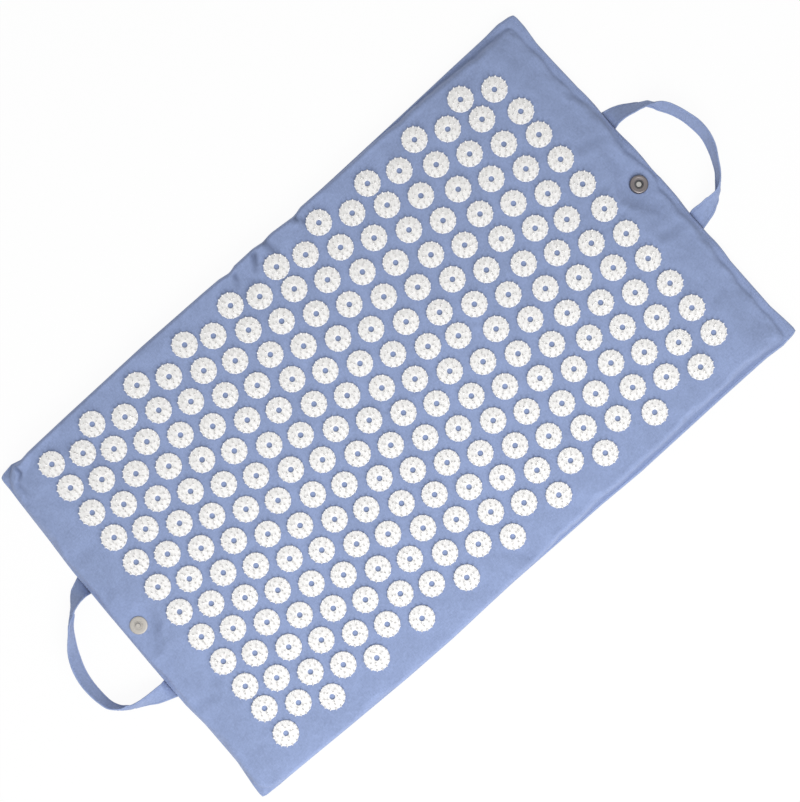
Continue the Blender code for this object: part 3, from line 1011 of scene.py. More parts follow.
def warped(x, y):
    """A point of the square pattern, moved to where the real cover's outline pulls it."""
    half_x, half_y = MAT_LENGTH / 2, MAT_WIDTH / 2
    near_socket = smooth_share(1 - (half_x - x) / EDGE_WARP_RUN)
    near_stud = smooth_share(1 - (half_x + x) / EDGE_WARP_RUN)
    near_back = smooth_share(1 - (half_y - y) / EDGE_WARP_RUN)
    near_front = smooth_share(1 - (half_y + y) / EDGE_WARP_RUN)
    move_x = near_socket * (table_value(SOCKET_EDGE, y) - half_x)
    move_x = move_x - near_stud * (table_value(STUD_EDGE, y) - half_x)
    move_y = near_back * (table_value(FAR_EDGE, x) - half_y)
    move_y = move_y - near_front * (table_value(NEAR_EDGE, x) - half_y)
    from_x = np.clip(1 - (half_x - np.abs(x)) / CORNER_ROUND_RUN, 0, 1)
    from_y = np.clip(1 - (half_y - np.abs(y)) / CORNER_ROUND_RUN, 0, 1)
    tuck = CORNER_ROUND * (from_x * from_y) ** 1.5
    return x + move_x - np.sign(x) * tuck, y + move_y - np.sign(y) * tuck


def pad_sides(x, y):
    """How far a point of the pattern lies inside the pad's outline, and the width of the flange there."""
    half_x, half_y = MAT_LENGTH / 2, MAT_WIDTH / 2
    socket_wide, stud_wide = table_value(SOCKET_FLANGE, y), table_value(STUD_FLANGE, y)
    far_wide, near_wide = table_value(FAR_FLANGE, x), table_value(NEAR_FLANGE, x)
    from_end = np.minimum(half_x - socket_wide - x, half_x - stud_wide + x)
    from_side = np.minimum(half_y - far_wide - y, half_y - near_wide + y)
    end_wide = np.where(x > 0, socket_wide, stud_wide)
    side_wide = np.where(y > 0, far_wide, near_wide)
    share = smooth_share(0.5 + (from_side - from_end) / FLANGE_BLEND)
    radius = np.where(x > 0, SOCKET_CORNER_RADIUS, STUD_CORNER_RADIUS)
    out_end, out_side = radius - from_end, radius - from_side
    corner = np.hypot(np.maximum(out_end, 0), np.maximum(out_side, 0))
    depth = radius - corner - np.minimum(np.maximum(out_end, out_side), 0)
    return depth, side_wide + (end_wide - side_wide) * share


def pad_depth(x, y):
    """How far a point of the pattern lies inside the pad's outline."""
    return pad_sides(x, y)[0]


def sewn_share(width):
    """0 where the pad fills the cover to its seam, 1 where a flat flange shows beside it."""
    return np.clip((width - SEWN_FROM) / (SEWN_FULL - SEWN_FROM), 0, 1)


def end_share(x):
    """0 over the discs, rising to 1 towards the mat's two ends, where the pad is squeezed thinner."""
    from_socket = smooth_share((x - first_row_x) / END_DROP_RUN)
    from_stud = smooth_share((last_row_x - x) / END_DROP_RUN)
    return np.maximum(from_socket, from_stud)


def seam_distance(x, y):
    """How far a point of the pattern lies inside the cover's seam."""
    return np.minimum(MAT_LENGTH / 2 - np.abs(x), MAT_WIDTH / 2 - np.abs(y))


def seat_share(x, y):
    """1 on the level seat of a snap half, falling to 0 round it."""
    share = np.zeros_like(x)
    for place in (socket_place, stud_place):
        flat = np.maximum(np.hypot(x - place.x, y - place.y) - socket_radius - SEAT_MARGIN, 0)
        wide = np.maximum(np.abs(y - place.y) - socket_radius, 0)
        away = np.hypot(np.minimum(flat, np.abs(x - place.x)), wide * SEAT_STRETCH)
        share = np.maximum(share, 1 - smooth_share(away / SEAT_FADE))
    return share


def waves(x, y, seed, lengths):
    """Soft seeded waves, from -1 to 1."""
    numbers = random.Random(seed)
    total = np.zeros_like(x)
    for length in lengths:
        bearing = numbers.uniform(0, FULL_TURN)
        phase = numbers.uniform(0, FULL_TURN)
        run = x * math.cos(bearing) + y * math.sin(bearing)
        total = total + np.sin(run * FULL_TURN / length + phase)
    return total / len(lengths)


def line_distance(x, y, points):
    """Distance to a line through the points, and how far along it, as a share."""
    best = np.full_like(x, 1e3)
    share = np.zeros_like(x)
    count = len(points) - 1
    for index, (start, end) in enumerate(zip(points, points[1:])):
        run = np.array(end) - np.array(start)
        t = np.clip(((x - start[0]) * run[0] + (y - start[1]) * run[1]) / (run @ run), 0, 1)
        away = np.hypot(x - start[0] - t * run[0], y - start[1] - t * run[1])
        closer = away < best
        best = np.where(closer, away, best)
        share = np.where(closer, (index + t) / count, share)
    return best, share


def creased(x, y):
    """How deep the cover's creases are at each point, and how dark their painted shade makes it."""
    dent = np.zeros_like(x)
    painted_shade = np.zeros_like(x)
    for points, depth, half_width in CREASES:
        places = [photo_place(*point, PAD_HEIGHT / 2) for point in points]
        away, share = line_distance(x, y, places)
        fade = 1 - share * CREASE_FADE
        trough = hump(away, 0, half_width) * fade
        rims = hump(away, half_width * 2, half_width) * fade
        dent = dent + depth * (trough - CREASE_RIM_SHARE * rims)
        # Painted shade, darkest where a crease is deepest
        painted_shade = np.maximum(painted_shade, trough * depth / CREASE_FULL_SHADE_DEPTH)
    return dent, painted_shade


def foot_share(x, y):
    """1 where a strap is sewn into the end seam, falling to 0 beside it."""
    share = np.zeros_like(x)
    near_end = smooth_share(1 - (MAT_LENGTH / 2 - np.abs(x)) / FOOT_DIP_REACH)
    for middle in FOOT_PLACES:
        away = np.abs(y - middle) - STRAP_WIDTH / 2
        share = np.maximum(share, 1 - smooth_share(away / FOOT_DIP_RUN))
    return share * near_end


def seam_level(x, y, sewn):
    """Height of the cover's seam: lifted beside a flat flange, and low at the straps' feet."""
    return SEAM_HEIGHT + SEAM_LIFT * sewn * (1 - foot_share(x, y))


def cover_top(x, y, undulation):
    """The cover's upper surface on the pattern, and the painted shade of its creases and its seam."""
    depth, width = pad_sides(x, y)
    sewn = sewn_share(width)
    depth = depth + waves(x, y, *SEAM_WAVES) * CREASE_WOBBLE * sewn
    depth = depth - FOOT_FLAT * foot_share(x, y) * (1 - sewn)
    seam = seam_distance(x, y)
    lip = np.clip(seam / LIP_RUN, 0, 1)
    level = seam_level(x, y, sewn)
    flange = level + LIP_RISE * np.sqrt(1 - (1 - lip) ** 2)
    low = flange + (CREASE_HEIGHT - level - LIP_RISE) * np.clip(seam / WIDE_FLANGE, 0, 1)
    inside = np.clip(depth / (EDGE_RUN_NARROW + (EDGE_RUN_WIDE - EDGE_RUN_NARROW) * sewn), 0, 1)
    rise = np.sqrt(1 - (1 - inside) ** 2)
    rise = rise + (1 - (1 - inside) ** SOFT_RISE - rise) * sewn
    full = PAD_HEIGHT - END_DROP * end_share(x)
    height = low + (full - low) * rise
    seat = seat_share(x, y)
    height = height + np.minimum(seat_height - height, 0) * seat
    at_seam = hump(depth, 0, CREASE_HALF_WIDTH) * sewn * (1 - SEAT_CREASE_CUT * seat)
    height = height - CREASE_DEPTH * at_seam
    open_field = smooth_share(depth / OPEN_FIELD_RUN) * (1 - seat)
    soft = waves(x, y, *PAD_WAVES) * undulation
    puckers = hump(depth, PUCKER_PLACE, PUCKER_HALF_WIDTH) * waves(x, y, *PUCKER_WAVES) * PUCKER_HEIGHT
    dent, painted_shade = creased(x, y)
    height = height + (soft - undulation) * open_field + puckers * (1 - seat)
    height = height - dent * (0.5 + 0.5 * inside)
    # The second value is painted shade: darker cloth in the creases and in the seam's crease
    return np.maximum(height, level), np.maximum(painted_shade * CREASE_SHADE, at_seam * SEAM_SHADE)


def cover_bottom(x, y):
    """The cover's underside: flat on the floor, lifted a little under the sewn flange."""
    seam = seam_distance(x, y)
    sewn = sewn_share(pad_sides(x, y)[1])
    lifted = (seam_level(x, y, sewn) - SEAM_HEIGHT) * (1 - smooth_share(seam / FLANGE_REACH))
    lip = np.sqrt(1 - (1 - np.clip(seam / LIP_RUN, 0, 1)) ** 2)
    soft = UNDERSIDE_WAVE_HEIGHT * (1 + waves(x, y, *UNDERSIDE_WAVES))
    return SEAM_HEIGHT * (1 - lip) + soft * smooth_share(seam / UNDERSIDE_WAVE_RUN) + lifted


def under_discs(x, y):
    """1 under the discs, where the cover is held flat, falling to 0 between them."""
    held = np.zeros_like(x)
    for node in disc_rows:
        for place in disc_places(node):
            away = np.hypot(x - place.x, y - place.y)
            held = np.maximum(held, 1 - smooth_share((away - disc_radius) / DISC_HOLD_RUN))
    return held


def grid_faces(index, flipped=False):
    """Faces between neighbouring rows and columns of a grid of point numbers."""
    corners = [index[:-1, :-1], index[1:, :-1], index[1:, 1:], index[:-1, 1:]]
    if flipped:
        corners = corners[::-1]
    return np.stack([corner.ravel() for corner in corners], axis=1).tolist()


def simulated_swelling(cap):
    """Lets a coarse copy of the top panel swell as cloth between its seams, discs and snaps."""
    xs = np.linspace(-MAT_LENGTH / 2, MAT_LENGTH / 2, CLOTH_GRID[0])
    ys = np.linspace(-MAT_WIDTH / 2, MAT_WIDTH / 2, CLOTH_GRID[1])
    x, y = np.meshgrid(xs, ys, indexing="ij")
    flat_x, flat_y = warped(x, y)
    rest = np.stack([flat_x, flat_y, cover_top(x, y, 0.0)[0]], axis=-1)
    index = np.arange(x.size).reshape(x.shape)
    cloth = new_piece("swelling_cloth", rest.reshape(-1, 3), grid_faces(index), cotton_material())
    held = np.maximum(under_discs(x, y), seat_share(x, y))
    held = np.maximum(held, 1 - smooth_share(pad_depth(x, y) / CLOTH_EDGE_RUN))
    group = cloth.vertex_groups.new(name="held")
    for number, weight in enumerate(held.ravel()):
        group.add([number], float(weight), "REPLACE")
    swelling = cloth.modifiers.new("cloth", "CLOTH")
    for name, value in CLOTH_SETTINGS.items():
        setattr(swelling.settings, name, value)
    swelling.settings.effector_weights.gravity = 0
    swelling.collision_settings.use_collision = False
    scene = bpy.context.scene
    for step in range(1, CLOTH_FRAMES + 1):
        scene.frame_set(step)
    evaluated = cloth.evaluated_get(bpy.context.evaluated_depsgraph_get())
    settled = np.zeros(x.size * 3, np.float32)
    evaluated.data.vertices.foreach_get("co", settled)
    moved = settled.reshape(*x.shape, 3) - rest
    bpy.data.objects.remove(cloth)
    scene.frame_set(1)
    length = np.linalg.norm(moved, axis=-1, keepdims=True)
    moved = moved * np.minimum(1, cap / np.maximum(length, 1e-9))
    return xs, ys, moved


def looked_up(xs, ys, values, x, y):
    """Values of a regular grid at other places, straight between its points."""
    across = np.clip(np.interp(x, xs, np.arange(len(xs))), 0, len(xs) - 1.001)
    along = np.clip(np.interp(y, ys, np.arange(len(ys))), 0, len(ys) - 1.001)
    i, j = across.astype(int), along.astype(int)
    u, v = (across - i)[..., None], (along - j)[..., None]
    low = values[i, j] * (1 - u) + values[i + 1, j] * u
    high = values[i, j + 1] * (1 - u) + values[i + 1, j + 1] * u
    return low * (1 - v) + high * v


finishes = {}


def cotton_material():
    cover = bpy.context.scene.mat_cover
    if "cotton" not in finishes:
        finishes["cotton"] = cotton("blue_cotton", cover.cloth, cover.thread_spacing)
    return finishes["cotton"]


def thread_material():
    cover = bpy.context.scene.mat_cover
    if "thread" not in finishes:
        paler = [channel * THREAD_LEVEL for channel in cover.cloth]
        finishes["thread"] = sewing_thread("blue_thread", paler)
    return finishes["thread"]


class CoverSurface:
    """The finished upper surface of the cover, for what lies on it."""

    xs = None
    ys = None
    points = None

    @classmethod
    def at(cls, x, y):
        if cls.points is None:
            raise RuntimeError("make the cover first")
        return looked_up(cls.xs, cls.ys, cls.points, np.asarray(x, float), np.asarray(y, float))


class MAT_OT_cover(Operator):
    """Sew the padded cotton cover, one cloth over both halves"""

    bl_idname = "mat.cover"
    bl_label = "Cover"

    def execute(self, context):
        settings = context.scene.mat_cover
        xs = stations(MAT_LENGTH / 2, COVER_END_REACH, COVER_STEPS, fold_x)
        ys = stations(MAT_WIDTH / 2, COVER_SIDE_REACH, COVER_STEPS, socket_place.y)
        x, y = np.meshgrid(xs, ys, indexing="ij")
        height, painted_shade = cover_top(x, y, settings.undulation)
        flat_x, flat_y = warped(x, y)
        top = np.stack([flat_x, flat_y, height], axis=-1)
        coarse_xs, coarse_ys, moved = simulated_swelling(settings.swelling)
        swell = looked_up(coarse_xs, coarse_ys, moved, x, y)
        top = top + swell * (1 - SEAT_STEADINESS * seat_share(x, y))[..., None]
        held = under_discs(x, y)
        top[..., 2] = top[..., 2] * (1 - held) + (PAD_HEIGHT - DISC_SINK) * held
        top[..., 2] = np.minimum(top[..., 2], PAD_HEIGHT + settings.swelling)
        CoverSurface.xs, CoverSurface.ys, CoverSurface.points = xs, ys, top

        bottom = np.stack([flat_x, flat_y, cover_bottom(x, y)], axis=-1)
        index = np.arange(x.size).reshape(x.shape)
        under = index.copy()
        inner = np.arange((len(xs) - 2) * (len(ys) - 2)).reshape(len(xs) - 2, len(ys) - 2)
        under[1:-1, 1:-1] = inner + x.size
        points = np.concatenate([top.reshape(-1, 3), bottom[1:-1, 1:-1].reshape(-1, 3)])
        faces = grid_faces(index) + grid_faces(under, flipped=True)
        cover = new_piece("cover", points, faces, cotton_material())
        blank = np.zeros(inner.size)
        # Painted shade in the creases and along the seam
        write_attribute(cover, "painted_crease_shade", np.concatenate([painted_shade.ravel(), blank]))
        shoulder = hump(pad_depth(x, y), SHOULDER_WEAR_PLACE, SHOULDER_WEAR_HALF_WIDTH)
        wear = hump(seam_distance(x, y), 0, SEAM_WEAR_HALF_WIDTH) + SHOULDER_WEAR_SHARE * shoulder
        write_attribute(cover, "wear", np.concatenate([np.clip(wear, 0, 1).ravel(), blank]))
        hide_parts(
            "socket_half_top_cover",
            "socket_half_bottom_cover",
            "stud_half_top_cover",
            "stud_half_bottom_cover",
        )
        bend_at_fold(cover)
        return {"FINISHED"}


def bend_at_fold(obj):
    """Bends a piece that lies over both halves round the fold's line."""
    reach = Vector((FOLD_BLEND, 0, 0))
    fold = Vector((fold_x, 0, 0))
    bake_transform(obj, "stud_half", "socket_half", start=fold - reach, end=fold + reach)


class MAT_OT_foam(Operator):
    """Lay the foam slab inside the cover"""

    bl_idname = "mat.foam"
    bl_label = "Foam"

    def execute(self, context):
        half_x, half_y = MAT_LENGTH / 2 - FOAM_INSET, MAT_WIDTH / 2 - FOAM_INSET
        xs = stations(half_x, FOAM_REACH, FOAM_STEPS, fold_x)
        ys = stations(half_y, FOAM_REACH, FOAM_STEPS)
        x, y = np.meshgrid(xs, ys, indexing="ij")
        surface = CoverSurface.at(x, y)
        hollow = FOAM_SNAP_HOLLOW * smooth_share(seat_share(x, y) * FOAM_HOLLOW_SPREAD)
        inside = np.clip((pad_depth(x, y) - FOAM_EDGE_GAP) / FOAM_EDGE_RUN, 0, 1)
        full = PAD_HEIGHT - FOAM_CROWN_GAP - END_DROP * end_share(x)
        crown = FOAM_FLOOR + (full - FOAM_FLOOR) * np.sqrt(1 - (1 - inside) ** 2)
        height = np.minimum(surface[..., 2] - FOAM_COVER_GAP - hollow, crown)
        height = np.maximum(height, FOAM_FLOOR + FOAM_LEAST)
        top = np.stack([surface[..., 0], surface[..., 1], height], axis=-1)
        bottom = top.copy()
        bottom[..., 2] = FOAM_FLOOR
        index = np.arange(x.size).reshape(x.shape)
        faces = grid_faces(index) + grid_faces(index + x.size, flipped=True)
        rim = np.concatenate([index[:, 0], index[-1, 1:], index[-2::-1, -1], index[0, -2:0:-1]])
        for first, second in zip(rim, np.roll(rim, -1)):
            faces.append([first, first + x.size, second + x.size, second])
        points = np.concatenate([top.reshape(-1, 3), bottom.reshape(-1, 3)])
        foam = new_piece("foam_slab", points, faces, open_foam("pale_foam", (0.80, 0.78, 0.70)))
        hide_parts("socket_half_foam", "stud_half_foam")
        bend_at_fold(foam)
        return {"FINISHED"}


def stitching_piece(name, lines):
    """Stitches, each a low arch of thread, along lines of places with the direction that is up there."""
    settings = bpy.context.scene.mat_cover
    points, faces = [], []
    radius = settings.thread_width / 2
    for line in lines:
        places = [Vector(place) for place, up in line]
        ups = [Vector(up) for place, up in line]
        travelled = [0.0]
        for first, second in zip(places, places[1:]):
            travelled.append(travelled[-1] + (second - first).length)
        count = max(int(travelled[-1] / settings.stitch_length), 1)
        pitch = travelled[-1] / count
        for number in range(count):
            start = len(points)
            for share, rise in STITCH_ARCH:
                along = (number + STITCH_GAP_SHARE + (1 - 2 * STITCH_GAP_SHARE) * share) * pitch
                spot = min(int(np.searchsorted(travelled, along, side="right")) - 1, len(places) - 2)
                span = travelled[spot + 1] - travelled[spot]
                part = (along - travelled[spot]) / span if span else 0
                here = places[spot].lerp(places[spot + 1], part)
                up = ups[spot].lerp(ups[spot + 1], part).normalized()
                forward = (places[spot + 1] - places[spot]).normalized()
                side = forward.cross(up).normalized()
                middle = here + up * (rise * radius * STITCH_RISE)
                for turn in range(THREAD_SIDES):
                    angle = FULL_TURN * turn / THREAD_SIDES
                    outwards = side * (radius * math.cos(angle)) + up * (radius * math.sin(angle))
                    points.append(middle + outwards)
            for ring in range(len(STITCH_ARCH) - 1):
                faces += ring_faces(start + ring * THREAD_SIDES, THREAD_SIDES)
            last = start + (len(STITCH_ARCH) - 1) * THREAD_SIDES
            faces.append([start + turn for turn in reversed(range(THREAD_SIDES))])
            faces.append([last + turn for turn in range(THREAD_SIDES)])
    return new_piece(name, points, faces, thread_material())


class MAT_OT_edge_stitching(Operator):
    """Stitch round the cover's edges"""

    bl_idname = "mat.edge_stitching"
    bl_label = "Edge stitching"

    def execute(self, context):
        half_x, half_y = MAT_LENGTH / 2, MAT_WIDTH / 2
        first_x, last_x = STITCH_STUD_INSET - half_x, half_x - STITCH_SOCKET_INSET
        along_x = np.linspace(first_x, last_x, STITCH_LONG_POINTS)
        along_y = np.linspace(STITCH_SIDE_INSET - half_y, half_y - STITCH_SIDE_INSET, STITCH_SHORT_POINTS)
        lines = []
        for x, y in (
            (half_x - STITCH_SHARE * table_value(SOCKET_FLANGE, along_y), along_y),
            (STITCH_SHARE * table_value(STUD_FLANGE, along_y) - half_x, along_y),
            (along_x, half_y - STITCH_SHARE * table_value(FAR_FLANGE, along_x)),
            (along_x, STITCH_SHARE * table_value(NEAR_FLANGE, along_x) - half_y),
        ):
            lines.append([(place, UP) for place in CoverSurface.at(x, y)])
        stitching = stitching_piece("edge_stitching", lines)
        bend_at_fold(stitching)
        return {"FINISHED"}


def ring_points(radius, height, sides):
    """Points round the upright axis."""
    return [
        (radius * math.cos(FULL_TURN * side / sides), radius * math.sin(FULL_TURN * side / sides), height)
        for side in range(sides)
    ]


def ring_faces(start, sides):
    """Faces between the ring of points at start and the next ring."""
    faces = []
    for side in range(sides):
        after = (side + 1) % sides
        faces.append((start + side, start + after, start + sides + after, start + sides + side))
    return faces


def swept_faces(rings, sides):
    """Faces of a closed profile swept round an axis: ring to ring, and from the last to the first."""
    faces = []
    for ring in range(rings - 1):
        faces += ring_faces(ring * sides, sides)
    last = (rings - 1) * sides
    for side in range(sides):
        after = (side + 1) % sides
        faces.append((last + side, last + after, after, side))
    return faces


def one_disc():
    """A disc's points, faces and shares of grey that is partly dusty and partly painted shade: a round plate
    with a centre hole and rings of cone spikes.
    """
    hole = disc_radius * HOLE_SHARE
    thick = PLATE_THICKNESS
    # Radius, height and share of dust and painted shade of each ring of points, up through the hole and down
    # the rim
    rings = (
        (hole, 0.0, 0.6),
        (hole, thick * 0.70, 0.3),
        (hole + HOLE_ROUNDING, thick * 0.97, 0.1),
        (hole + HOLE_ROUNDING * 2, thick, 0.1),
        (disc_radius - PLATE_ROUNDING * 2, thick, 0.15),
        (disc_radius, thick - PLATE_ROUNDING * 1.5, 0.1),
        (disc_radius, PLATE_ROUNDING / 2, 0.5),
        (disc_radius - PLATE_ROUNDING, 0.0, 0.6),
    )
    points, dust_and_shade = [], []
    for radius, height, dust_and_shade_share in rings:
        points += ring_points(radius, height, PLATE_SIDES)
        dust_and_shade += [dust_and_shade_share] * PLATE_SIDES
    faces = [face[::-1] for face in swept_faces(len(rings), PLATE_SIDES)]
    spike_height = node_height("disc_row_01")
    for count, share, base, lean in SPIKE_RINGS:
        for number in range(count):
            angle = FULL_TURN * (number + share) / count
            outward = Vector((math.cos(angle), math.sin(angle), 0))
            middle = outward * disc_radius * share
            tip = middle + outward * lean
            start = len(points)
            # Foot, root and point of a spike
            for centre, radius, height, dust_and_shade_share in (
                (middle, base, thick * 0.6, 0.9),
                (middle, base * 0.95, thick * 1.1, 0.5),
                (tip, SPIKE_POINT, spike_height - SPIKE_POINT, 0.0),
            ):
                for px, py, pz in ring_points(radius, height, SPIKE_SIDES):
                    points.append((centre.x + px, centre.y + py, pz))
                    dust_and_shade.append(dust_and_shade_share)
            points.append((tip.x, tip.y, spike_height))
            dust_and_shade.append(0.0)
            faces += ring_faces(start, SPIKE_SIDES) + ring_faces(start + SPIKE_SIDES, SPIKE_SIDES)
            top = start + 2 * SPIKE_SIDES
            for side in range(SPIKE_SIDES):
                faces.append((top + side, top + (side + 1) % SPIKE_SIDES, len(points) - 1))
    return np.array(points), faces, np.array(dust_and_shade)


class MAT_OT_discs(Operator):
    """Mould the spiked discs and set them in their rows"""

    bl_idname = "mat.discs"
    bl_label = "Spiked discs"

    def execute(self, context):
        settings = context.scene.mat_discs
        numbers = random.Random(settings.seed)
        shape, disc_faces, disc_dust_and_shade = one_disc()
        plastic = moulded_plastic("white_plastic", settings.plastic)
        for node in disc_rows:
            points, faces, local, dust_and_shade = [], [], [], []
            for place in disc_places(node):
                tilts = [numbers.uniform(-DISC_TILT_DEGREES, DISC_TILT_DEGREES) for _ in range(2)]
                turn = Euler((*map(math.radians, tilts), numbers.uniform(0, FULL_TURN))).to_matrix()
                shift = Vector((numbers.gauss(0, 0.5), numbers.gauss(0, 0.5), 0)) * settings.scatter
                start = len(points) * len(shape)
                placed = shape @ np.array(turn).T + np.array(place + shift)
                points.append(placed)
                local.append(shape)
                dust_and_shade.append(disc_dust_and_shade)
                faces += [tuple(start + corner for corner in face) for face in disc_faces]
            row = new_piece(f"spiked_discs_row_{node[-2:]}", np.concatenate(points), faces, plastic)
            row.data.set_sharp_from_angle(angle=math.radians(DISC_SHARP_DEGREES))
            write_vector_attribute(row, "disc_place", np.concatenate(local))
            # Dust and painted shade of each point, from the disc's rings
            write_attribute(row, "dust_and_shade", np.concatenate(dust_and_shade))
            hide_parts(node)
            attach(row, body_of(frame["nodes"][node])[0])
        return {"FINISHED"}


def smooth_line(knots, values, steps):
    """A smooth line through the values at the knots."""
    knots = np.array(knots, float)
    values = np.array(values, float)
    slopes = np.gradient(values, knots, axis=0)
    spots = np.linspace(knots[0], knots[-1], steps + 1)
    index = np.clip(np.searchsorted(knots, spots, side="right") - 1, 0, len(knots) - 2)
    span = knots[index + 1] - knots[index]
    t = (spots - knots[index]) / span
    t, span = t[:, None], span[:, None]
    return (
        (2 * t**3 - 3 * t**2 + 1) * values[index]
        + (t**3 - 2 * t**2 + t) * span * slopes[index]
        + (3 * t**2 - 2 * t**3) * values[index + 1]
        + (t**3 - t**2) * span * slopes[index + 1]
    )


def bulged_width(bulge):
    """From edge to edge of a strap whose middle bulges out: its width less what the curve takes up."""
    return STRAP_WIDTH * (1 - 8 / 3 * (bulge / STRAP_WIDTH) ** 2)


def strap_stations(pixels):
    """From a strap's edges in the picture: its lower edge, which way its width points, and its bulge."""
    found = []
    for inner, outer, bulge in pixels:
        low = Vector((*photo_place(*inner, STRAP_FLOOR_GAP), STRAP_FLOOR_GAP + STRAP_THICKNESS / 2))
        width = bulged_width(bulge)
        lift = width
        for _ in range(STRAP_LIFT_ROUNDS):
            seen = Vector((*photo_place(*outer, lift), 0)) - Vector((low.x, low.y, 0))
            spread = max(seen.length - STRAP_THICKNESS * lift / width, 0)
            lift = math.sqrt(max(width**2 - spread**2, 0))
        across = seen.normalized() * spread + UP * lift
        found.append((*low, *across.normalized(), bulge))
    return found


def strap_line(pixels):
    """A strap's middle from foot to foot: place, way across, way up off its face, and outward bulge."""
    values = strap_stations(pixels)
    knots = [0.0]
    for first, second in zip(values, values[1:]):
        knots.append(knots[-1] + math.dist(first[:3], second[:3]))
    line = smooth_line(knots, values, STRAP_LINE_STEPS)
    widths = [Vector(row[3:6]).normalized() for row in line]
    bulges = [max(row[6], 0) for row in line]
    places = []
    for row, width, bulge in zip(line, widths, bulges):
        places.append(Vector(row[:3]) + width * (bulged_width(bulge) / 2))
    middle = (places[0] + places[-1]) / 2
    strap = []
    for number, (place, width) in enumerate(zip(places, widths)):
        before, after = places[max(number - 1, 0)], places[min(number + 1, len(places) - 1)]
        forward = (after - before).normalized()
        width = (width - forward * width.dot(forward)).normalized()
        outward = forward.cross(UP).normalized()
        if outward.dot(place - middle) < 0:
            outward = -outward
        strap.append((place, width, forward.cross(width).normalized(), outward * bulges[number]))
    return strap


def strap_point(station, share, lift):
    """A point of a strap's section: its share of the half width, and how far it is off the middle."""
    place, width, up, bulge = station
    reach = bulged_width(bulge.length) / 2
    return place + width * (share * reach) + up * lift + bulge * (1 - share * share)


def seam_beside(y, side):
    """How far along the mat a strap that ends at this place across it may reach in."""
    return table_value(SOCKET_EDGE if side > 0 else STUD_EDGE, y) + FOOT_CLEARANCE


def foot_station(station, side):
    """The flat end of a strap, level with the seam that it is sewn to."""
    place, width, up, _ = station
    middle = Vector((side * seam_beside(place.y, side), place.y, STRAP_FLOOR_GAP + STRAP_THICKNESS / 2))
    return middle, Vector((0, math.copysign(1, width.y), 0)), UP * math.copysign(1, up.z), Vector()


def flush(ring, side):
    """Moves the points of a strap's end ring onto the end seam."""
    return [Vector((side * seam_beside(point.y, side), point.y, point.z)) for point in ring]


def is_clear(ring, side):
    """Whether a ring of a strap's points lies wholly outside the end seam."""
    return all(abs(point.x) > seam_beside(point.y, side) + FOOT_RUN for point in ring)


def bend_at_feet(obj, name, side):
    """Keeps a strap's sewn feet on the mat and bends it beside them as its handle swings."""
    start = Vector((side * (MAT_LENGTH / 2 + FOOT_HOLD), 0, 0))
    end = start + Vector((side * FOOT_BEND, 0, 0))
    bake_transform(obj, f"{name}_half", f"{name}_handle", start=start, end=end)


class MAT_OT_straps(Operator):
    """Fold, bend and stitch the two strap handles"""

    bl_idname = "mat.straps"
    bl_label = "Strap handles"

    def execute(self, context):
        cloth = context.scene.mat_straps.cloth
        strap_cotton = cotton("strap_cotton", cloth, context.scene.mat_cover.thread_spacing)
        for name, side, pixels in (("socket", 1, SOCKET_STRAP_PX), ("stud", -1, STUD_STRAP_PX)):
            line = strap_line(pixels)
            strap = self.make_band(f"{name}_strap", side, line, strap_cotton)
            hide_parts(f"{name}_handle")
            bend_at_feet(strap, name, side)
            sewn = line[STITCH_FREE_STEPS:-STITCH_FREE_STEPS]
            stitching = self.make_stitching(context, f"{name}_strap_stitching", sewn)
            bend_at_feet(stitching, name, side)
        return {"FINISHED"}

    def make_band(self, name, side, line, material):
        """One strap: its section swept along its line, with flat ends flush with the mat's seam."""
        upper = STRAP_SECTION_SHARES
        section = [(share, high) for share, high in upper]
        section += [(share, -high) for share, high in reversed(upper)]
        section += [(-share, -high) for share, high in upper[1:]]
        section += [(-share, high) for share, high in reversed(upper[1:])]
        sides = len(section)
        half = STRAP_THICKNESS / 2
        rings = []
        for number, station in enumerate(line):
            pucker = 1 + sum(size * math.sin(number * pace) for size, pace in STRAP_PUCKERS)
            rings.append([strap_point(station, share, high * pucker * half) for share, high in section])
        clear = [number for number, ring in enumerate(rings) if is_clear(ring, side)]
        feet = []
        for station in (line[0], line[-1]):
            foot = foot_station(station, side)
            feet.append(flush([strap_point(foot, share, high * half) for share, high in section], side))
        rings = [feet[0], *rings[clear[0] : clear[-1] + 1], feet[1]]
        faces = []
        for ring in range(len(rings) - 1):
            faces += ring_faces(ring * sides, sides)
        faces.append(tuple(reversed(range(sides))))
        faces.append(tuple((len(rings) - 1) * sides + corner for corner in range(sides)))
        strap = new_piece(name, [point for ring in rings for point in ring], faces, material)
        face_outwards(strap)
        # Painted shade darkens the cloth in the stitch channels; the folded edges are worn paler
        painted_crease_shade = [STITCH_CHANNEL_SHADE if abs(share) == STITCH_CHANNEL else 0.0 for share, high in section]
        wear = [1.0 if abs(share) > STRAP_WORN_FROM else 0.0 for share, high in section]
        write_attribute(strap, "painted_crease_shade", painted_crease_shade * len(rings))
        write_attribute(strap, "wear", wear * len(rings))
        return strap

    def make_stitching(self, context, name, line):
        """Stitching along both edges of a strap, on both of its faces."""
        share = 1 - context.scene.mat_straps.stitch_inset / (STRAP_WIDTH / 2)
        lift = STRAP_THICKNESS / 2 * STITCH_LIFT_SHARE
        lines = []
        for edge in (-share, share):
            for face in (-1, 1):
                places = [strap_point(station, edge, face * lift) for station in line]
                lines.append([(place, station[2] * face) for place, station in zip(places, line)])
        return stitching_piece(name, lines)


def turned(name, profile, place, material):
    """A turned piece: a closed profile of radius and height points, swept round its axis."""
    points = []
    for radius, height in profile:
        points += ring_points(radius, height, TURNED_SIDES)
    faces = swept_faces(len(profile), TURNED_SIDES)
    obj = new_piece(name, [Vector(point) + place for point in points], faces, material)
    obj.data.set_sharp_from_angle(angle=math.radians(TURNED_SHARP_DEGREES))
    return obj


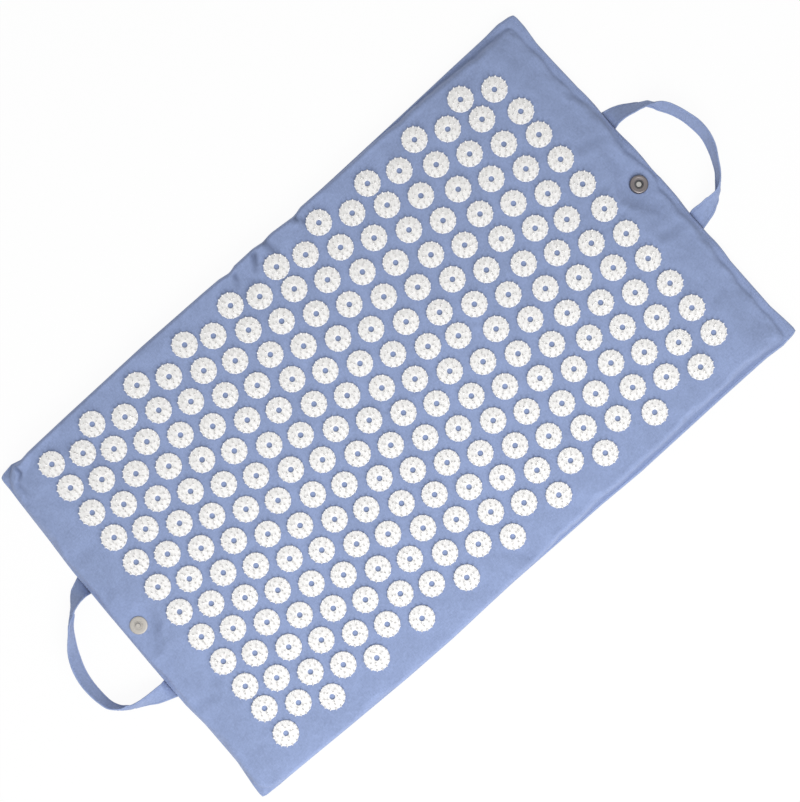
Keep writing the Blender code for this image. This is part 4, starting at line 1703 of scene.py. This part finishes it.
class MAT_OT_snap(Operator):
    """Turn the snap's cap and plate, and finish its post and its other pieces"""

    bl_idname = "mat.snap"
    bl_label = "Magnetic snap"

    def execute(self, context):
        settings = context.scene.mat_snap
        gunmetal = plated_metal("gunmetal", settings.socket, 0.34)
        pale = plated_metal("pale_nickel", settings.plate, 0.60, marks=0.8)
        bright = plated_metal("bright_nickel", (0.45, 0.44, 0.42), 0.35)
        # Steel of the socket's base, darkened for its patina and with painted shade, where it shows in the
        # cap's mouth
        dark = plated_metal("patina_and_shade_steel", (0.12, 0.12, 0.12), 0.45)
        steel = plated_metal("zinc_steel", (0.58, 0.58, 0.58), 0.45)
        black = ferrite("ferrite", (0.07, 0.07, 0.08))

        tall = node_height("snap_socket_cap")
        profile = [(socket_radius - CAP_WALL, 0.0)]
        profile += [(socket_radius - inset, tall - drop) for inset, drop in CAP_INSIDE]
        profile += [(radius, tall - drop) for radius, drop in CAP_MOUTH]
        profile += [(socket_radius - inset, tall - drop) for inset, drop in CAP_FACE]
        profile += [(socket_radius, CAP_FOOT), (socket_radius - CAP_FOOT_INSET, 0.0)]
        cap = turned("socket_cap", profile, socket_place, gunmetal)
        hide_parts("snap_socket_cap")
        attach(cap, "socket_half")

        thick = node_height("snap_stud_plate")
        profile = [(STUD_HOLE, 0.0), (STUD_HOLE, thick)]
        profile += [(radius, thick - drop) for radius, drop in STUD_GROOVE]
        profile += [(plate_radius - inset, thick - drop) for inset, drop in STUD_RIM]
        profile += [(plate_radius, STUD_FOOT), (plate_radius - STUD_FOOT, 0.0)]
        plate = turned("stud_plate", profile, stud_place, pale)
        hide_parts("snap_stud_plate")
        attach(plate, "stud_half")

        for node, material in (
            ("snap_stud_post", pale),
            ("snap_socket_rivet", bright),
            ("snap_socket_magnet", black),
            ("snap_socket_base", dark),
            ("snap_socket_washer", steel),
            ("snap_stud_washer", steel),
        ):
            paint(node, material)
        return {"FINISHED"}


class MAT_OT_stage(Operator):
    """Set the floor, the light and the camera"""

    bl_idname = "mat.stage"
    bl_label = "Stage"

    def execute(self, context):
        settings = context.scene.mat_stage
        self.make_floor()
        self.make_world(context, settings.fill)
        lamp = bpy.data.lights.new("soft_lamp", "AREA")
        lamp.shape = "DISK"
        lamp.size = LAMP_SIZE
        lamp.energy = settings.key_power
        lamp_obj = bpy.data.objects.new("soft_lamp", lamp)
        lamp_obj.location = LAMP_PLACE
        lamp_obj.rotation_mode = "QUATERNION"
        lamp_obj.rotation_quaternion = Vector(LAMP_PLACE).to_track_quat("Z", "Y")
        context.scene.collection.objects.link(lamp_obj)

        camera = bpy.data.cameras.new("camera")
        camera.sensor_fit = "HORIZONTAL"
        camera.sensor_width = SENSOR_WIDTH_MM
        camera.lens = camera.sensor_width * CAMERA_HEIGHT / FLOOR_SEEN
        camera_obj = bpy.data.objects.new("camera", camera)
        camera_obj.location = (*CAMERA_OVER, CAMERA_HEIGHT)
        camera_obj.rotation_euler = (0, 0, math.radians(CAMERA_TURN_DEGREES))
        context.scene.collection.objects.link(camera_obj)
        context.scene.camera = camera_obj
        context.scene.view_settings.view_transform = "Standard"
        return {"FINISHED"}

    def make_floor(self):
        corners = [(-FLOOR_HALF, -FLOOR_HALF, 0), (FLOOR_HALF, -FLOOR_HALF, 0)]
        corners += [(FLOOR_HALF, FLOOR_HALF, 0), (-FLOOR_HALF, FLOOR_HALF, 0)]
        shade = {"Base Color": (0.93, 0.93, 0.93, 1), "Roughness": 0.9, "Specular IOR Level": 0.0}
        finish = Finish("white_floor", shade)
        floor = new_piece("floor", corners, [(0, 1, 2, 3)], finish.material, smooth=False)
        floor.location.z = -FLOOR_GAP
        glow = finish.node("ShaderNodeEmission", None, {"Color": (1, 1, 1, 1), "Strength": 1.0})
        surface = Tone(finish, finish.surface.outputs[0])
        share = finish.seen_directly() * FLOOR_GLOW_SHARE
        mixed = finish.node("ShaderNodeMixShader", None, {0: share, 1: surface, 2: glow})
        output = finish.tree.nodes["Material Output"]
        finish.tree.links.new(mixed.socket, output.inputs["Surface"])

    def make_world(self, context, fill):
        world = bpy.data.worlds.new("studio")
        context.scene.world = world
        world.use_nodes = True
        background = world.node_tree.nodes["Background"]
        background.inputs["Color"].default_value = (1, 1, 1, 1)
        strength = fill + NodeMaker(world.node_tree).seen_directly() * (1 - fill)
        world.node_tree.links.new(strength.socket, background.inputs["Strength"])


class MAT_PT_sidebar(Panel):
    """Lists the mat's pieces in the sidebar"""

    bl_label = "Acupressure mat"
    bl_space_type = "VIEW_3D"
    bl_region_type = "UI"
    bl_category = "Mat"

    def draw(self, context):
        for group, operators in PIECES:
            box = self.layout.box()
            settings = getattr(context.scene, group)
            for name in settings.__annotations__:
                box.prop(settings, name)
            for operator in operators:
                box.operator(operator.bl_idname)


PIECES = (
    ("mat_cover", (MAT_OT_cover, MAT_OT_foam, MAT_OT_edge_stitching)),
    ("mat_discs", (MAT_OT_discs,)),
    ("mat_straps", (MAT_OT_straps,)),
    ("mat_snap", (MAT_OT_snap,)),
    ("mat_stage", (MAT_OT_stage,)),
)
SETTINGS = {
    "mat_cover": MatCoverSettings,
    "mat_discs": MatDiscSettings,
    "mat_straps": MatStrapSettings,
    "mat_snap": MatSnapSettings,
    "mat_stage": MatStageSettings,
}


def register():
    for name, group in SETTINGS.items():
        bpy.utils.register_class(group)
        setattr(bpy.types.Scene, name, PointerProperty(type=group))
    for group, operators in PIECES:
        for operator in operators:
            bpy.utils.register_class(operator)
    bpy.utils.register_class(MAT_PT_sidebar)


def unregister():
    bpy.utils.unregister_class(MAT_PT_sidebar)
    for group, operators in reversed(PIECES):
        for operator in reversed(operators):
            bpy.utils.unregister_class(operator)
    for name, group in reversed(list(SETTINGS.items())):
        delattr(bpy.types.Scene, name)
        bpy.utils.unregister_class(group)


def main():
    register()
    bpy.ops.mat.cover()
    bpy.ops.mat.foam()
    bpy.ops.mat.edge_stitching()
    bpy.ops.mat.discs()
    bpy.ops.mat.straps()
    bpy.ops.mat.snap()
    bpy.ops.mat.stage()


if __name__ == "__main__":
    main()
